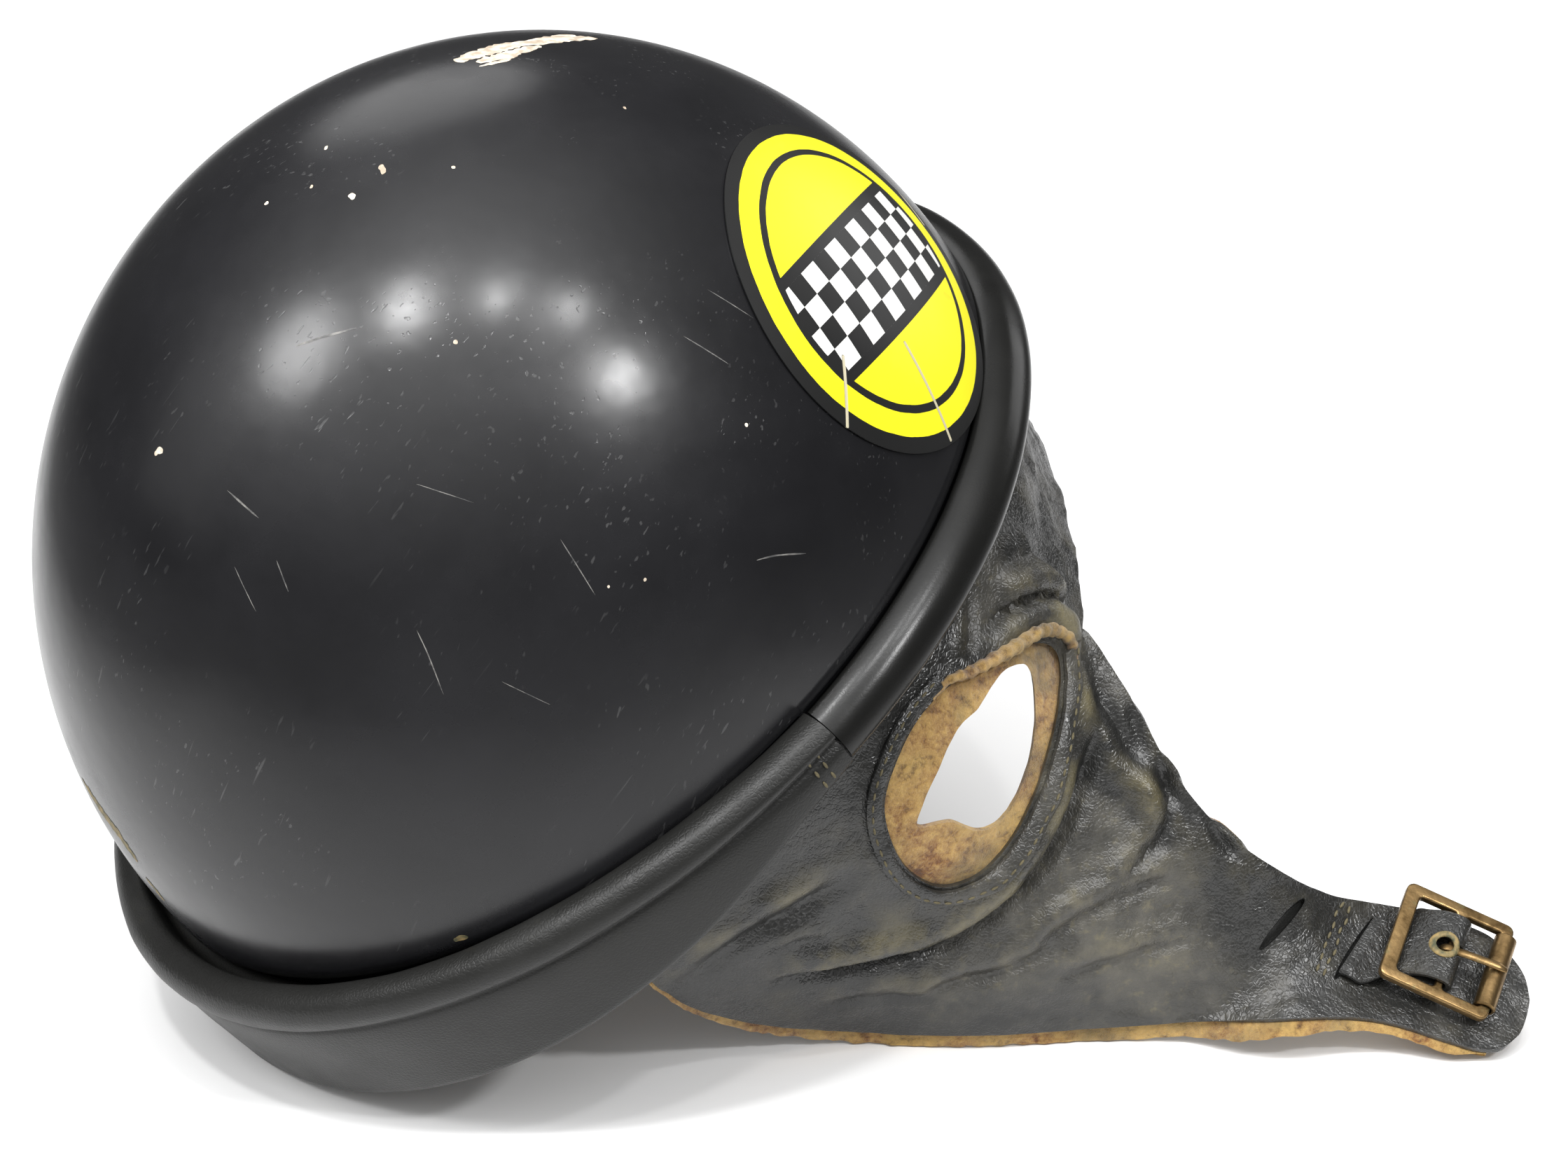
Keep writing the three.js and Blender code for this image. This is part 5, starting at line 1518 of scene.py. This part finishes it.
# Add-on
class HelmetColours(bpy.types.PropertyGroup):
    paint: bpy.props.FloatVectorProperty(name="Shell paint", description="Colour of the dome", subtype="COLOR", size=3, default=(0.008, 0.008, 0.009))
    leather: bpy.props.FloatVectorProperty(name="Leather", description="Colour of the clean flap leather", subtype="COLOR", size=3, default=(0.0165, 0.0165, 0.0155))
    suede: bpy.props.FloatVectorProperty(name="Suede", description="Colour of the lining", subtype="COLOR", size=3, default=(0.45, 0.285, 0.08))
    brass: bpy.props.FloatVectorProperty(name="Brass", description="Colour of the rubbed brass", subtype="COLOR", size=3, default=(0.26, 0.17, 0.075))
    decal: bpy.props.FloatVectorProperty(name="Decal", description="Colour of the decal's field", subtype="COLOR", size=3, default=(0.86, 0.8, 0.01))
    thread: bpy.props.FloatVectorProperty(name="Thread", description="Colour of the stitching", subtype="COLOR", size=3, default=(0.16, 0.135, 0.07))


class HelmetSizes(bpy.types.PropertyGroup):
    stitch_pitch: bpy.props.FloatProperty(name="Stitch pitch", description="From one stitch to the next", default=0.0032, unit="LENGTH")
    stitch_length: bpy.props.FloatProperty(name="Stitch length", description="Length of a stitch", default=0.0024, unit="LENGTH")
    thread_thickness: bpy.props.FloatProperty(name="Thread", description="Thickness of the thread", default=0.0008, unit="LENGTH")


class HELMET_OT_dome(bpy.types.Operator):
    """Make the painted dome"""

    bl_idname = "helmet.dome"
    bl_label = "Dome"

    def execute(self, context):
        make_dome(context)
        return {"FINISHED"}


class HELMET_OT_decal(bpy.types.Operator):
    """Make the round decal on the dome"""

    bl_idname = "helmet.decal"
    bl_label = "Decal"

    def execute(self, context):
        make_decal(context)
        return {"FINISHED"}


class HELMET_OT_wear(bpy.types.Operator):
    """Lay the bare patches and scratches on the dome"""

    bl_idname = "helmet.wear"
    bl_label = "Wear"

    def execute(self, context):
        make_wear(context)
        return {"FINISHED"}


class HELMET_OT_peak(bpy.types.Operator):
    """Make the rolled peak"""

    bl_idname = "helmet.peak"
    bl_label = "Peak"

    def execute(self, context):
        make_peak(context)
        return {"FINISHED"}


class HELMET_OT_trim(bpy.types.Operator):
    """Make the trim round the back of the rim"""

    bl_idname = "helmet.trim"
    bl_label = "Back trim"

    def execute(self, context):
        make_trim(context)
        return {"FINISHED"}


class HELMET_OT_flaps(bpy.types.Operator):
    """Make both ear flaps with their linings"""

    bl_idname = "helmet.flaps"
    bl_label = "Ear flaps"

    def execute(self, context):
        make_flaps(context)
        return {"FINISHED"}


class HELMET_OT_ear_holes(bpy.types.Operator):
    """Make the welts and rolled edges of the ear holes"""

    bl_idname = "helmet.ear_holes"
    bl_label = "Ear holes"

    def execute(self, context):
        make_ear_holes(context)
        return {"FINISHED"}


class HELMET_OT_nape(bpy.types.Operator):
    """Make the curtain at the nape"""

    bl_idname = "helmet.nape"
    bl_label = "Nape curtain"

    def execute(self, context):
        make_nape(context)
        return {"FINISHED"}


class HELMET_OT_buckle(bpy.types.Operator):
    """Make the buckle and the strap that holds it"""

    bl_idname = "helmet.buckle"
    bl_label = "Buckle"

    def execute(self, context):
        make_buckle(context)
        return {"FINISHED"}


class HELMET_OT_far_strap(bpy.types.Operator):
    """Make the free end of the chin strap"""

    bl_idname = "helmet.far_strap"
    bl_label = "Chin strap"

    def execute(self, context):
        make_far_strap(context)
        return {"FINISHED"}


class HELMET_OT_stitching(bpy.types.Operator):
    """Sew the stitched lines"""

    bl_idname = "helmet.stitching"
    bl_label = "Stitching"

    def execute(self, context):
        make_stitching(context)
        return {"FINISHED"}


class HELMET_OT_stage(bpy.types.Operator):
    """Set the table, the lights and the camera"""

    bl_idname = "helmet.stage"
    bl_label = "Stage"

    def execute(self, context):
        make_stage(context)
        return {"FINISHED"}


OPERATORS = (
    HELMET_OT_stage, HELMET_OT_dome, HELMET_OT_decal, HELMET_OT_wear, HELMET_OT_peak, HELMET_OT_trim, HELMET_OT_flaps,
    HELMET_OT_ear_holes, HELMET_OT_nape, HELMET_OT_buckle, HELMET_OT_far_strap, HELMET_OT_stitching,
)


class HELMET_PT_panel(bpy.types.Panel):
    """Sizes, colours and makers of the helmet"""

    bl_label = "Riding helmet"
    bl_idname = "HELMET_PT_panel"
    bl_space_type = "VIEW_3D"
    bl_region_type = "UI"
    bl_category = "Helmet"

    def draw(self, context):
        for group in (context.scene.helmet_colours, context.scene.helmet_sizes):
            for name in group.bl_rna.properties.keys():
                if name not in ("rna_type", "name"):
                    self.layout.prop(group, name)
        for operator in OPERATORS:
            self.layout.operator(operator.bl_idname)


CLASSES = (HelmetColours, HelmetSizes, *OPERATORS, HELMET_PT_panel)


def register():
    for thing in CLASSES:
        bpy.utils.register_class(thing)
    bpy.types.Scene.helmet_colours = bpy.props.PointerProperty(type=HelmetColours)
    bpy.types.Scene.helmet_sizes = bpy.props.PointerProperty(type=HelmetSizes)


def unregister():
    del bpy.types.Scene.helmet_colours
    del bpy.types.Scene.helmet_sizes
    for thing in reversed(CLASSES):
        bpy.utils.unregister_class(thing)


def main():
    register()
    for operator in OPERATORS:
        group, name = operator.bl_idname.split(".")
        getattr(getattr(bpy.ops, group), name)()


if __name__ == "__main__":
    main()
